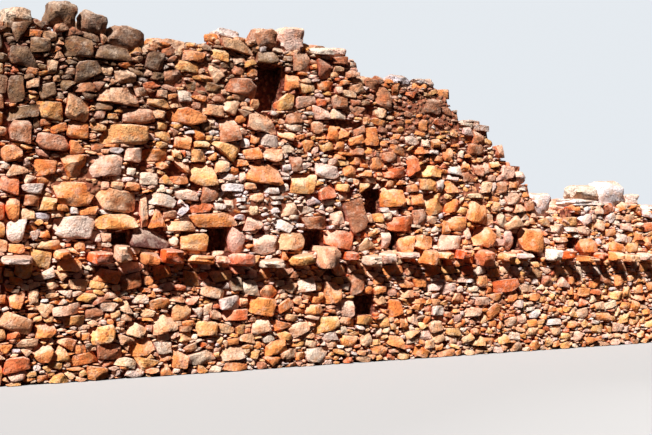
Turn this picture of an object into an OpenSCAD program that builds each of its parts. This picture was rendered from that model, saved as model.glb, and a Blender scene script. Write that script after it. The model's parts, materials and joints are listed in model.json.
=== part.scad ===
// Six bays of a ruined dry stone wall: two battered leaves of faced stone with hearting
// between them, a ledge of through slabs, a row of joist sockets above the ledge, a tall
// niche near the broken top, and loose cap stones. The front faces -Y, X runs along the wall.

/* [Wall] */
// Length of one bay of the wall
bay_len = 2000; // [1900:25:2200]
// Thickness of the wall at the ground
base_t = 1000; // [960:20:1200]
// Lean of each face towards the middle, for each metre of height
batter = 20; // [0:5:25]
// Thickness of the front leaf
front_leaf_t = 300; // [260:10:320]
// Thickness of the back leaf
back_leaf_t = 300; // [260:10:320]
// Length of the solid head that closes each end
head_len = 380; // [300:20:450]

/* [Ledge] */
// Height of the bed under the ledge
ledge_z = 1420; // [1300:20:1600]
// Thickness of the ledge slabs
ledge_t = 160; // [120:10:200]
// How far the ledge stands out from each face
ledge_out = 240; // [160:10:300]
// Open joint between two ledge slabs
slab_gap = 18; // [8:2:30]
// Height taken off the upper and lower edge of a slab at its nose
slab_nose = 30; // [10:5:45]
// How much is worn off the corners of a slab
slab_worn = 40; // [20:5:50]

/* [Broken top] */
// Height of the highest course above the ledge
crown_h = 2960; // [2860:20:3200]
// How far the top of the hearting lies below the top of the leaves
core_drop = 70; // [30:10:120]
// How far the steps of the back leaf lie to the right of those of the front leaf
back_step_shift = 120; // [60:20:200]
// How far the odd steps of the back leaf lie below those of the front leaf
back_step_drop = 60; // [20:10:100]
// Length of a usual cap stone
cap_len = 400; // [340:10:400]

/* [Joist sockets] */
// Width of a wide socket
wide_socket_w = 300; // [240:10:330]
// Height of a wide socket
wide_socket_h = 300; // [240:10:330]
// Height of the sill of a wide socket above the ledge
wide_socket_sill = 30; // [20:5:60]
// Width of a narrow upright socket
narrow_socket_w = 160; // [120:10:180]
// Height of a narrow upright socket
narrow_socket_h = 270; // [200:10:300]
// Height of the sill of a narrow upright socket above the ledge
narrow_socket_sill = 50; // [20:5:70]
// Width of a low socket
low_socket_w = 230; // [180:10:260]
// Height of a low socket
low_socket_h = 180; // [140:10:220]
// Height of the sill of a low socket above the ledge
low_socket_sill = 80; // [40:5:100]

/* [Niche and holes] */
// Width of the tall niche
niche_w = 320; // [260:10:360]
// Height of the tall niche
niche_h = 640; // [500:20:700]
// Height of the sill of the niche above the ledge
niche_sill = 1980; // [1900:20:2060]
// Width of the square hole half way up the wall
hole_w = 280; // [220:10:320]
// Height of the square hole half way up the wall
hole_h = 350; // [280:10:400]
// Height of the sill of the square hole above the ledge
hole_sill = 590; // [520:10:640]
// Width of the pocket under the ledge
pocket_w = 360; // [280:10:400]
// Height of the pocket under the ledge
pocket_h = 280; // [200:10:320]
// Height of the sill of the pocket above the ground
pocket_sill = 680; // [600:10:760]

/* [Hidden] */
BAYS = 6;
wall_len = BAYS * bay_len;
ledge_top = ledge_z + ledge_t;
crown_z = ledge_top + crown_h;
over = 50;
high_z = crown_z + over;
// Clearance between a cap stone and another one that it lies on
seat = 0.3;

// Steps of the broken top of the front leaf: place in bays from the left end,
// and how far the step lies below the highest course, in shares of crown_h
STEPS = [
    [0, 0.071], [0.295, 0.054], [0.555, 0.061], [0.745, 0.118], [0.99, 0.101], [1.3, 0.061],
    [1.45, 0.014], [1.775, 0.034], [1.95, 0.041], [2.175, 0], [2.35, 0.034], [2.55, 0.061],
    [2.61, 0.125], [2.89, 0.149], [3.1, 0.135], [3.31, 0.166], [3.415, 0.243],
    [3.51, 0.328], [3.8, 0.378], [3.85, 0.429], [3.96, 0.52], [4.09, 0.615], [4.22, 0.689],
    [4.275, 0.791], [4.5, 0.818], [4.7, 0.73], [5.37, 0.706], [5.525, 0.747]
];

// Joints between the slabs of the ledge, in shares of each bay
SLAB_JOINTS = [
    [0, 0.35, 0.55, 0.775, 1],
    [0, 0.26, 0.475, 0.77, 1],
    [0, 0.225, 0.44, 0.64, 1],
    [0, 0.12, 0.3, 0.46, 0.63, 0.875, 1],
    [0, 0.11, 0.35, 0.57, 0.735, 1],
    [0, 0.15, 0.34, 0.55, 0.775, 1]
];
// How far the two corners of a slab stay back from the line of the ledge, slab by slab,
// in shares of ledge_out
SLAB_BACK = [[0, 0.15], [0.25, 0.08], [0.06, 0], [0.17, 0.29], [0, 0.1]];

// Openings in the front leaf above the ledge: bay, middle in shares of the bay,
// width, height and sill above the ledge
OPENINGS = [
    [0, 0.83, low_socket_w, low_socket_h, low_socket_sill],
    [1, 0.4875, wide_socket_w, wide_socket_h, wide_socket_sill],
    [2, 0.2175, wide_socket_w, wide_socket_h, wide_socket_sill],
    [2, 0.9025, narrow_socket_w, narrow_socket_h, narrow_socket_sill],
    [4, 0.0825, narrow_socket_w, narrow_socket_h, narrow_socket_sill],
    [4, 0.695, low_socket_w, low_socket_h, low_socket_sill],
    [1, 0.87, niche_w, niche_h, niche_sill],
    [2, 0.72, hole_w, hole_h, hole_sill]
];
// The pocket under the ledge: bay, middle in shares of the bay
POCKET = [2, 0.63];

// Cap stones over each leaf: bay whose node holds the stone, left side in bays from the
// left end, length, depth and height in shares of cap_len, turn of its top in degrees,
// and the height of another cap stone under it, in the same shares
FRONT_CAPS = [
    [0, 0.11, 0.8, 0.75, 0.575, 12, 0], [0, 0.37, 0.925, 1.05, 0.85, -10, 0],
    [0, 0.585, 0.775, 0.8, 0.7, 14, 0], [0, 0.755, 1.125, 0.85, 0.725, -8, 0],
    [1, 1.02, 0.75, 0.8, 0.375, 8, 0], [1, 1.5, 0.8, 0.85, 0.325, -6, 0],
    [1, 1.785, 0.8, 1.05, 0.65, 6, 0],
    [2, 1.97, 0.95, 1.075, 0.875, 9, 0], [2, 2.37, 0.75, 0.8, 0.325, -8, 0],
    [2, 2.9, 0.95, 0.95, 0.45, 12, 0],
    [3, 3.13, 0.85, 0.8, 0.325, -10, 0], [3, 3.56, 1.05, 0.85, 0.275, 6, 0],
    [4, 4.1, 0.55, 0.75, 0.475, 9, 0], [4, 4.29, 1, 0.95, 0.9, -14, 0],
    [5, 4.7, 1.55, 0.95, 0.3, 0, 0], [5, 4.74, 1.4, 0.825, 0.6, 8, 0.3],
    [5, 5.05, 1.55, 1, 1.15, -9, 0], [5, 5.39, 0.675, 0.75, 0.425, 12, 0],
    [5, 5.6, 0.75, 0.8, 0.3, 7, 0]
];
BACK_CAPS = [
    [0, 0.2, 0.85, 0.75, 0.55, -12, 0], [0, 0.5, 1, 0.8, 0.65, 10, 0],
    [1, 1.2, 0.9, 0.8, 0.525, 10, 0], [1, 1.72, 0.825, 0.75, 0.45, -9, 0],
    [2, 2.28, 0.95, 0.8, 0.575, -10, 0], [2, 2.7, 0.75, 0.75, 0.4, 12, 0],
    [3, 3.2, 0.75, 0.75, 0.425, 11, 0], [3, 3.62, 0.825, 0.75, 0.5, -9, 0],
    [4, 4.36, 0.6, 0.725, 0.5, 10, 0],
    [5, 4.78, 1.05, 0.8, 0.525, 10, 0], [5, 5.2, 0.95, 0.8, 0.65, -11, 0],
    [5, 5.6, 0.75, 0.75, 0.375, 8, 0]
];
// The corners of a boulder are cut by a square prism, turned this much in plan, with a
// side of this share of the boulder's length and depth together
corner_turn = 38;
corner_share = 0.72;

ochre = [0.72, 0.45, 0.24];
tan_stone = [0.74, 0.58, 0.42];
brown_stone = [0.55, 0.4, 0.3];
red_stone = [0.78, 0.4, 0.24];
pale_stone = [0.88, 0.8, 0.74];
rubble = [0.42, 0.3, 0.22];

// Half the thickness of the wall at height z
function half_t(z) = base_t / 2 - batter * z / 1000;
function bay_x(bay) = -wall_len / 2 + bay * bay_len;

// The head at each end takes the first and last stretch of the leaves
function leaf_x0(bay) = bay == 0 ? bay_x(0) + head_len : bay_x(bay);
function leaf_x1(bay) = bay == BAYS - 1 ? bay_x(BAYS) - head_len : bay_x(bay + 1);

// Steps of each leaf: place in bays, and drop below the highest course
function front_steps() = [for (step = STEPS) [step[0], step[1] * crown_h]];
function back_steps() = [
    for (i = [0 : len(STEPS) - 1])
        [i == 0 ? 0 : STEPS[i][0] + back_step_shift / bay_len,
         STEPS[i][1] * crown_h + (i % 2) * back_step_drop]
];

// Corners of the upper edge of a stepped outline, from left to right
function step_x(steps, i) = i < len(steps) ? bay_x(steps[i][0]) : bay_x(BAYS);
function top_edge(steps, drop) = [
    for (i = [0 : len(steps) - 1])
        for (x = [step_x(steps, i), step_x(steps, i + 1)])
            [x, crown_z - steps[i][1] - drop]
];

// Height of the step under a place on the wall
function step_z(steps, x) = max([
    for (i = [0 : len(steps) - 1])
        if (x >= step_x(steps, i) && x < step_x(steps, i + 1)) crown_z - steps[i][1]
]);

// Everything under a stepped top, from y_min to y_max
module under_steps(steps, drop) {
    y_out = base_t;
    translate([0, y_out, 0])
        rotate([90, 0, 0])
            linear_extrude(2 * y_out)
                polygon(concat(
                    [[bay_x(BAYS), 0], [bay_x(0), 0]],
                    top_edge(steps, drop)
                ));
}

// A prism along X from x0 to x1 with the given outline in Y and Z
module along_wall(x0, x1, outline) {
    translate([x0, 0, 0])
        rotate([90, 0, 90])
            linear_extrude(x1 - x0)
                polygon(outline);
}

// Outline of the front leaf between two heights
function front_leaf(z0, z1) = [
    [-half_t(z0), z0], [-half_t(z0) + front_leaf_t, z0],
    [-half_t(z1) + front_leaf_t, z1], [-half_t(z1), z1]
];
// Outline of the back leaf between two heights
function back_leaf(z0, z1) = [
    [half_t(z0) - back_leaf_t, z0], [half_t(z0), z0],
    [half_t(z1), z1], [half_t(z1) - back_leaf_t, z1]
];
// Outline of the hearting between the leaves
function hearting(z0, z1) = [
    [-half_t(z0) + front_leaf_t, z0], [half_t(z0) - back_leaf_t, z0],
    [half_t(z1) - back_leaf_t, z1], [-half_t(z1) + front_leaf_t, z1]
];
// Outline of the whole thickness of the wall
function whole_wall(z0, z1) = [
    [-half_t(z0), z0], [half_t(z0), z0], [half_t(z1), z1], [-half_t(z1), z1]
];

// The space of an opening, cut from in front of the face to the hearting
module opening_cut(bay, middle, w, h, sill) {
    translate([bay_x(bay + middle) - w / 2, -base_t, sill])
        cube([w, base_t, h]);
}

module front_base_bay(bay) {
    color(tan_stone)
        difference() {
            along_wall(leaf_x0(bay), leaf_x1(bay), front_leaf(0, ledge_z));
            if (bay == POCKET[0])
                opening_cut(bay, POCKET[1], pocket_w, pocket_h, pocket_sill);
        }
}

module back_base_bay(bay) {
    color(tan_stone)
        along_wall(leaf_x0(bay), leaf_x1(bay), back_leaf(0, ledge_z));
}

// One ledge slab, laid through the whole wall, with worn corners and a blunt nose
module ledge_slab(x0, x1, back_left, back_right) {
    reach = half_t(ledge_z) + ledge_out;
    y_left = reach - back_left;
    y_right = reach - back_right;
    intersection() {
        translate([0, 0, ledge_z])
            linear_extrude(ledge_t)
                polygon([
                    [x0, -y_left + slab_worn], [x0 + slab_worn, -y_left],
                    [x1 - slab_worn, -y_right], [x1, -y_right + slab_worn],
                    [x1, y_right - slab_worn], [x1 - slab_worn, y_right],
                    [x0 + slab_worn, y_left], [x0, y_left - slab_worn]
                ]);
        along_wall(x0, x1, [
            [-reach, ledge_z + slab_nose], [-half_t(ledge_z), ledge_z],
            [half_t(ledge_z), ledge_z], [reach, ledge_z + slab_nose],
            [reach, ledge_top - slab_nose], [half_t(ledge_z), ledge_top],
            [-half_t(ledge_z), ledge_top], [-reach, ledge_top - slab_nose]
        ]);
    }
}

module ledge_bay(bay) {
    joints = SLAB_JOINTS[bay];
    color(red_stone)
        for (i = [0 : len(joints) - 2])
            let (
                left_end = bay == 0 && i == 0,
                right_end = bay == BAYS - 1 && i == len(joints) - 2,
                back = SLAB_BACK[(bay + i) % len(SLAB_BACK)]
            )
                ledge_slab(
                    bay_x(bay + joints[i]) + (left_end ? 0 : slab_gap / 2),
                    bay_x(bay + joints[i + 1]) - (right_end ? 0 : slab_gap / 2),
                    back[0] * ledge_out, back[1] * ledge_out
                );
}

module front_wall_bay(bay) {
    color(ochre)
        difference() {
            intersection() {
                along_wall(leaf_x0(bay), leaf_x1(bay), front_leaf(ledge_top, high_z));
                under_steps(front_steps(), 0);
            }
            for (o = OPENINGS)
                if (o[0] == bay)
                    opening_cut(bay, o[1], o[2], o[3], ledge_top + o[4]);
        }
}

module back_wall_bay(bay) {
    color(ochre)
        intersection() {
            along_wall(leaf_x0(bay), leaf_x1(bay), back_leaf(ledge_top, high_z));
            under_steps(back_steps(), 0);
        }
}

// One loose boulder on a flat bed, with sloping shoulders
module boulder(l, d, h, turn) {
    side = (l + d) * corner_share;
    intersection() {
        translate([-l / 2, -d / 2, 0])
            cube([l, d, h]);
        rotate([turn, turn, 0])
            translate([-l, -d, -h])
                cube([2 * l, 2 * d, 2 * h]);
        rotate([0, 0, corner_turn])
            translate([-side / 2, -side / 2, -h])
                cube([side, side, 3 * h]);
    }
}

// A cap stone stands flush with the face of its leaf, on the highest of the steps
// under its two ends and its middle, or on the cap stone that lies there
module cap_stone(stone, steps, face) {
    x0 = bay_x(stone[1]);
    l = stone[2] * cap_len;
    d = stone[3] * cap_len;
    h = stone[4] * cap_len;
    inside = 1;
    step = max([for (x = [x0 + inside, x0 + l / 2, x0 + l - inside]) step_z(steps, x)]);
    bed = step + (stone[6] > 0 ? stone[6] * cap_len + seat : 0);
    translate([x0 + l / 2, face * (half_t(bed) - d / 2), bed])
        boulder(l, d, h, stone[5]);
}

module cap_stones_bay(bay) {
    color(pale_stone) {
        for (stone = FRONT_CAPS)
            if (stone[0] == bay)
                cap_stone(stone, front_steps(), -1);
        for (stone = BACK_CAPS)
            if (stone[0] == bay)
                cap_stone(stone, back_steps(), 1);
    }
}

module base_hearting() {
    color(rubble)
        along_wall(leaf_x0(0), leaf_x1(BAYS - 1), hearting(0, ledge_z));
}

module wall_hearting(first, last) {
    color(rubble)
        intersection() {
            along_wall(leaf_x0(first), leaf_x1(last), hearting(ledge_top, high_z));
            under_steps(back_steps(), core_drop);
            under_steps(front_steps(), core_drop);
        }
}

module head_base(x0) {
    color(brown_stone)
        along_wall(x0, x0 + head_len, whole_wall(0, ledge_z));
}

module head_wall(x0) {
    color(brown_stone)
        intersection() {
            along_wall(x0, x0 + head_len, whole_wall(ledge_top, high_z));
            under_steps(front_steps(), 0);
        }
}

for (bay = [0 : BAYS - 1]) {
    front_base_bay(bay);
    back_base_bay(bay);
    ledge_bay(bay);
    front_wall_bay(bay);
    back_wall_bay(bay);
    cap_stones_bay(bay);
}
base_hearting();
wall_hearting(0, 1);  // wall_hearting_left
wall_hearting(2, 3);  // wall_hearting_middle
wall_hearting(4, 5);  // wall_hearting_right
head_base(bay_x(0));  // left_head_base
head_wall(bay_x(0));  // left_head_wall
head_base(bay_x(BAYS) - head_len);  // right_head_base
head_wall(bay_x(BAYS) - head_len);  // right_head_wall
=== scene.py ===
"""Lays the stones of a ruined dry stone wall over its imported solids.

Each face of the wall is planned on a fine grid: the stones that stand out come first, then big,
middling and small ones, and pinnings fill the joints. Every stone is raised from a template made with
bmesh operators, and the stones of a bay are joined into one mesh.
"""
import json
import math
from collections import namedtuple

import bmesh
import bpy
import numpy as np
from bpy.props import FloatProperty, FloatVectorProperty, PointerProperty
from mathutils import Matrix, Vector


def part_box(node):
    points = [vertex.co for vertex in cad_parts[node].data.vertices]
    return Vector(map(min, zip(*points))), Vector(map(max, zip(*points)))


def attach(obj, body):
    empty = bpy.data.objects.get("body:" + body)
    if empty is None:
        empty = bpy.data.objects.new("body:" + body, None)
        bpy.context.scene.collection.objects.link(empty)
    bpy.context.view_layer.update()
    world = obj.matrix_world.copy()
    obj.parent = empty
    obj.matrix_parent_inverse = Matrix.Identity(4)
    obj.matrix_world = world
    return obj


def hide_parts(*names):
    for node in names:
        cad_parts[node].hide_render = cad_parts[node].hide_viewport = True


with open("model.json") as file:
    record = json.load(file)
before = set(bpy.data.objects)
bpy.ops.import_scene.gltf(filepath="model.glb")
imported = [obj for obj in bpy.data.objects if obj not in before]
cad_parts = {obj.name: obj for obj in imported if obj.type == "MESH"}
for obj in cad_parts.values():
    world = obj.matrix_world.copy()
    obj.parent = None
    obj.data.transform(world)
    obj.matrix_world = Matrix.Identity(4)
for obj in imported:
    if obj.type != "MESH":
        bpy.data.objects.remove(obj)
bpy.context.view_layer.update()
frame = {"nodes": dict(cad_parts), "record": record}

bl_info = {
    "name": "Dry Stone Wall",
    "version": (1, 0, 0),
    "blender": (4, 5, 0),
    "location": "View3D > Sidebar > Stone Wall",
    "description": "Lays the stones of a ruined dry stone wall and sets its stage",
    "category": "Add Mesh",
}

# Sizes of the wall, read from the frame
NODES = frame["nodes"]
RECORD_OPENINGS = frame["record"]["physics"]["openings"]
BAYS = sum(name.startswith("front_wall_bay_") for name in NODES)
HALF_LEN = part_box("right_head_base")[1].x
BAY_LEN = 2 * HALF_LEN / BAYS
BASE_HALF = -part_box("left_head_base")[0].y
LEDGE_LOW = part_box("left_head_base")[1].z
LEDGE_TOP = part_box("left_head_wall")[0].z
BATTER = (BASE_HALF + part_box("left_head_wall")[0].y) / LEDGE_TOP
LEDGE_OUT = -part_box("ledge_bay_3")[0].y - BASE_HALF + BATTER * LEDGE_LOW
LEDGE_MIDDLE = (LEDGE_LOW + LEDGE_TOP) / 2

# The plan of a face: the size of its pixels, the gauge of a pixel that no stone holds, how far
# stones may stand over the steps of the broken top, and how far they stay clear of an opening or of
# a corner stone
PIXEL = 0.008
FREE = 9.0
OVER_TOP = 0.07
OPENING_MARGIN = 0.010

# The outline of a stone: the directions in which its reach is measured, the steps and the length of
# a measure, how far the outline may pass the stone's own pixels, the share of them that each side
# leaves inside, the most cuts made for neighbours, and how far a corner may stand out
DIRECTIONS = 72
RAY_STEPS = 64
RAY_REACH = 2.4
RAY_OVER = 1.14
SIDE_SHARE = 0.985
CUTS = 3
SHARPEST = 1.3
# Sides that look away by more than this cosine don't bound the reach
GRAZING = 0.05
# How near to the middle a cut may come, and the fewest pixels that make a stone
LEAST_REACH = 0.3
FEWEST_PIXELS = 4
# How far a corner of the template may be turned to a corner of the stone, in directions
CORNER_SEARCH = 6

# Under the ledge: the height of the band where stones lie further back, how far back they lie, and
# how much further back they lie and slabs stand out around the place of the deepest shadow
SHADED = 0.24
SET_BACK = 0.018
DEEPER = 0.028
SLABS_FURTHER = 0.03
DEEPEST_PLACE = -1.9
DEEPEST_SPREAD = 1.6

# The nose of a ledge slab: its taper, its shift to the right and its share of the slab's length
NOSE_TAPER = 0.04
NOSE_SHIFT = 0.022
NOSE_SHARE = 0.92
# How far the tail of a slab reaches into the wall, how far stones reach behind its sides, and behind
# its bed and top, and how far the core of the ledge reaches over and under the course
SLAB_TAIL = 0.30
SLAB_OVERLAP = 0.01
SLAB_BED = 0.015
CORE_OVER = 0.01
# The least height of a corner stone, half the joints beside it and over it, and how far stones of
# the end's face stay clear of it
LEAST_CORNER = 0.10
CORNER_JOINT = 0.003
CORNER_BED = 0.006
CORNER_CLEAR = 0.02
# The slabs of the ledge on an end: their middles across the wall, half their sizes, and how far
# their middles lie behind the end
END_SLABS = (-0.30, 0.0, 0.30)
END_SLAB_HALF = (0.10, 0.145, 0.075)
END_SLAB_BACK = 0.11

# How far the packing behind the stones is drawn in from the faces, and down from the broken top
PACK_IN = 0.08
PACK_DOWN = 0.06
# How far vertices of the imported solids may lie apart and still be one, how far they may lie off a
# face of the wall, how far a stated box lies inside its opening, and the least height of a step of
# the broken top over the ledge
SAME_PLACE = 1e-5
ON_FACE = 0.002
BOX_INSIDE = 0.010
LEAST_STEP = 0.2

# One kind of stone: the ranges of its width and height, the share that may lie over others, how far
# it grows into a gap, the cells and side rings of its template, its depth, how far its face lies
# behind the wall's face, and how many places are tried
Kind = namedtuple("Kind", "widths heights overlap reach cells rings depth sunk tries")
KINDS = {
    "landmark": Kind(None, None, 1.00, 1.08, 10, 1, 0.20, (-0.038, -0.008), 0),
    "big": Kind((0.20, 0.36), (0.12, 0.22), 0.05, 1.10, 8, 1, 0.18, (-0.032, 0.004), 420),
    "middling": Kind((0.11, 0.22), (0.07, 0.13), 0.07, 1.15, 6, 1, 0.15, (-0.026, 0.012), 1500),
    "small": Kind((0.07, 0.15), (0.035, 0.075), 0.10, 1.25, 5, 1, 0.12, (-0.022, 0.016), 3400),
    "pinning": Kind((0.04, 0.09), (0.018, 0.040), 0.16, 1.45, 3, 1, 0.08, (-0.010, 0.030), 3600),
}
# The kinds that are scattered, in their order, how often each is, and the share of small stones
# that have fallen out
SCATTERED = ("big", "middling", "small", "pinning")
PASSES = 3
MISSING = 0.05
# How far under the broken top the middles of scattered stones stay, and how much flatter they are
# where coarse stones are rare
UNDER_TOP = 0.02
FLATTER = 0.3
# How the size of scattered stones changes along the wall: places and factors
SIZE_PLACES = (-6, -1, 2, 6)
SIZE_FACTORS = (1.15, 1.0, 0.88, 0.88)
# Shares of the front's cells in a template, and of its tries, on the back and on the ends
BACK_DETAIL = 0.7
BACK_TRIES = 0.6
END_TRIES = 0.2

# Outlines, as the sides' directions in degrees and their distances from the middle
OUTLINES = {
    "block": ((0, 0.94), (90, 0.96), (180, 0.94), (270, 0.96)),
    "round": tuple((45 * i, 0.97) for i in range(8)),
    "up": ((270, 0.95), (28, 0.50), (152, 0.50)),
    "down": ((90, 0.95), (208, 0.50), (332, 0.50)),
    "dome": ((270, 0.92), (0, 0.95), (180, 0.95), (90, 0.96), (42, 1.02), (138, 1.02)),
    "diamond": ((62, 0.62), (118, 0.62), (242, 0.62), (298, 0.62), (0, 0.95), (180, 0.95)),
}

# Stones that reach less than this to any side are left out, and the least share of its reach that a
# stone keeps when the joint is taken off
NARROWEST = 0.009
JOINT_LIMIT = 0.7
# How much narrower a stone is at its back
BACK_TAPER = 0.12
# The least and the greatest swell of a face, and the furthest that a stone stands out
BULGES = (0.010, 0.040)
FURTHEST_OUT = 0.085
# The angle in degrees past which an edge is sharp, and the chips knocked off a block
SHARP_ANGLE = 30
CHIPS = 7

# Half a boulder's size as a share of its solid's, the stones strewn on the broken top, and half the
# width of the strip between the leaves where they lie lower
BOULDER_SHARE = 0.53
RUBBLE_COUNT = 620
MIDDLE_STRIP = 0.12
# The cuts across the blocks of each kind
CORNER_CUTS = 4
SLAB_CUTS = 5
BOULDER_CUTS = 7
RUBBLE_CUTS = 2

# Facets broken off the faces: the way each looks and how far that varies, in degrees, the nearest
# and furthest place from the middle as a share of the stone's size, and the steepest slope
FACETS = (
    (112, 38, -0.20, 0.65, 0.85),
    (270, 40, 0.45, 1.00, 1.0),
    (0, 70, -0.1, 0.7, 0.5),
    (180, 50, 0.2, 0.9, 0.9),
)

# Shares of a block's corners that are broken off, and of blocks whose bed or top slants
BROKEN_CORNERS = 0.25
SLANTING_BLOCKS = 0.35

# How often each outline is given to a scattered stone
FORM_SHARES = {"block": 0.66, "round": 0.04, "up": 0.08, "down": 0.07, "dome": 0.09, "diamond": 0.06}

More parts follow.
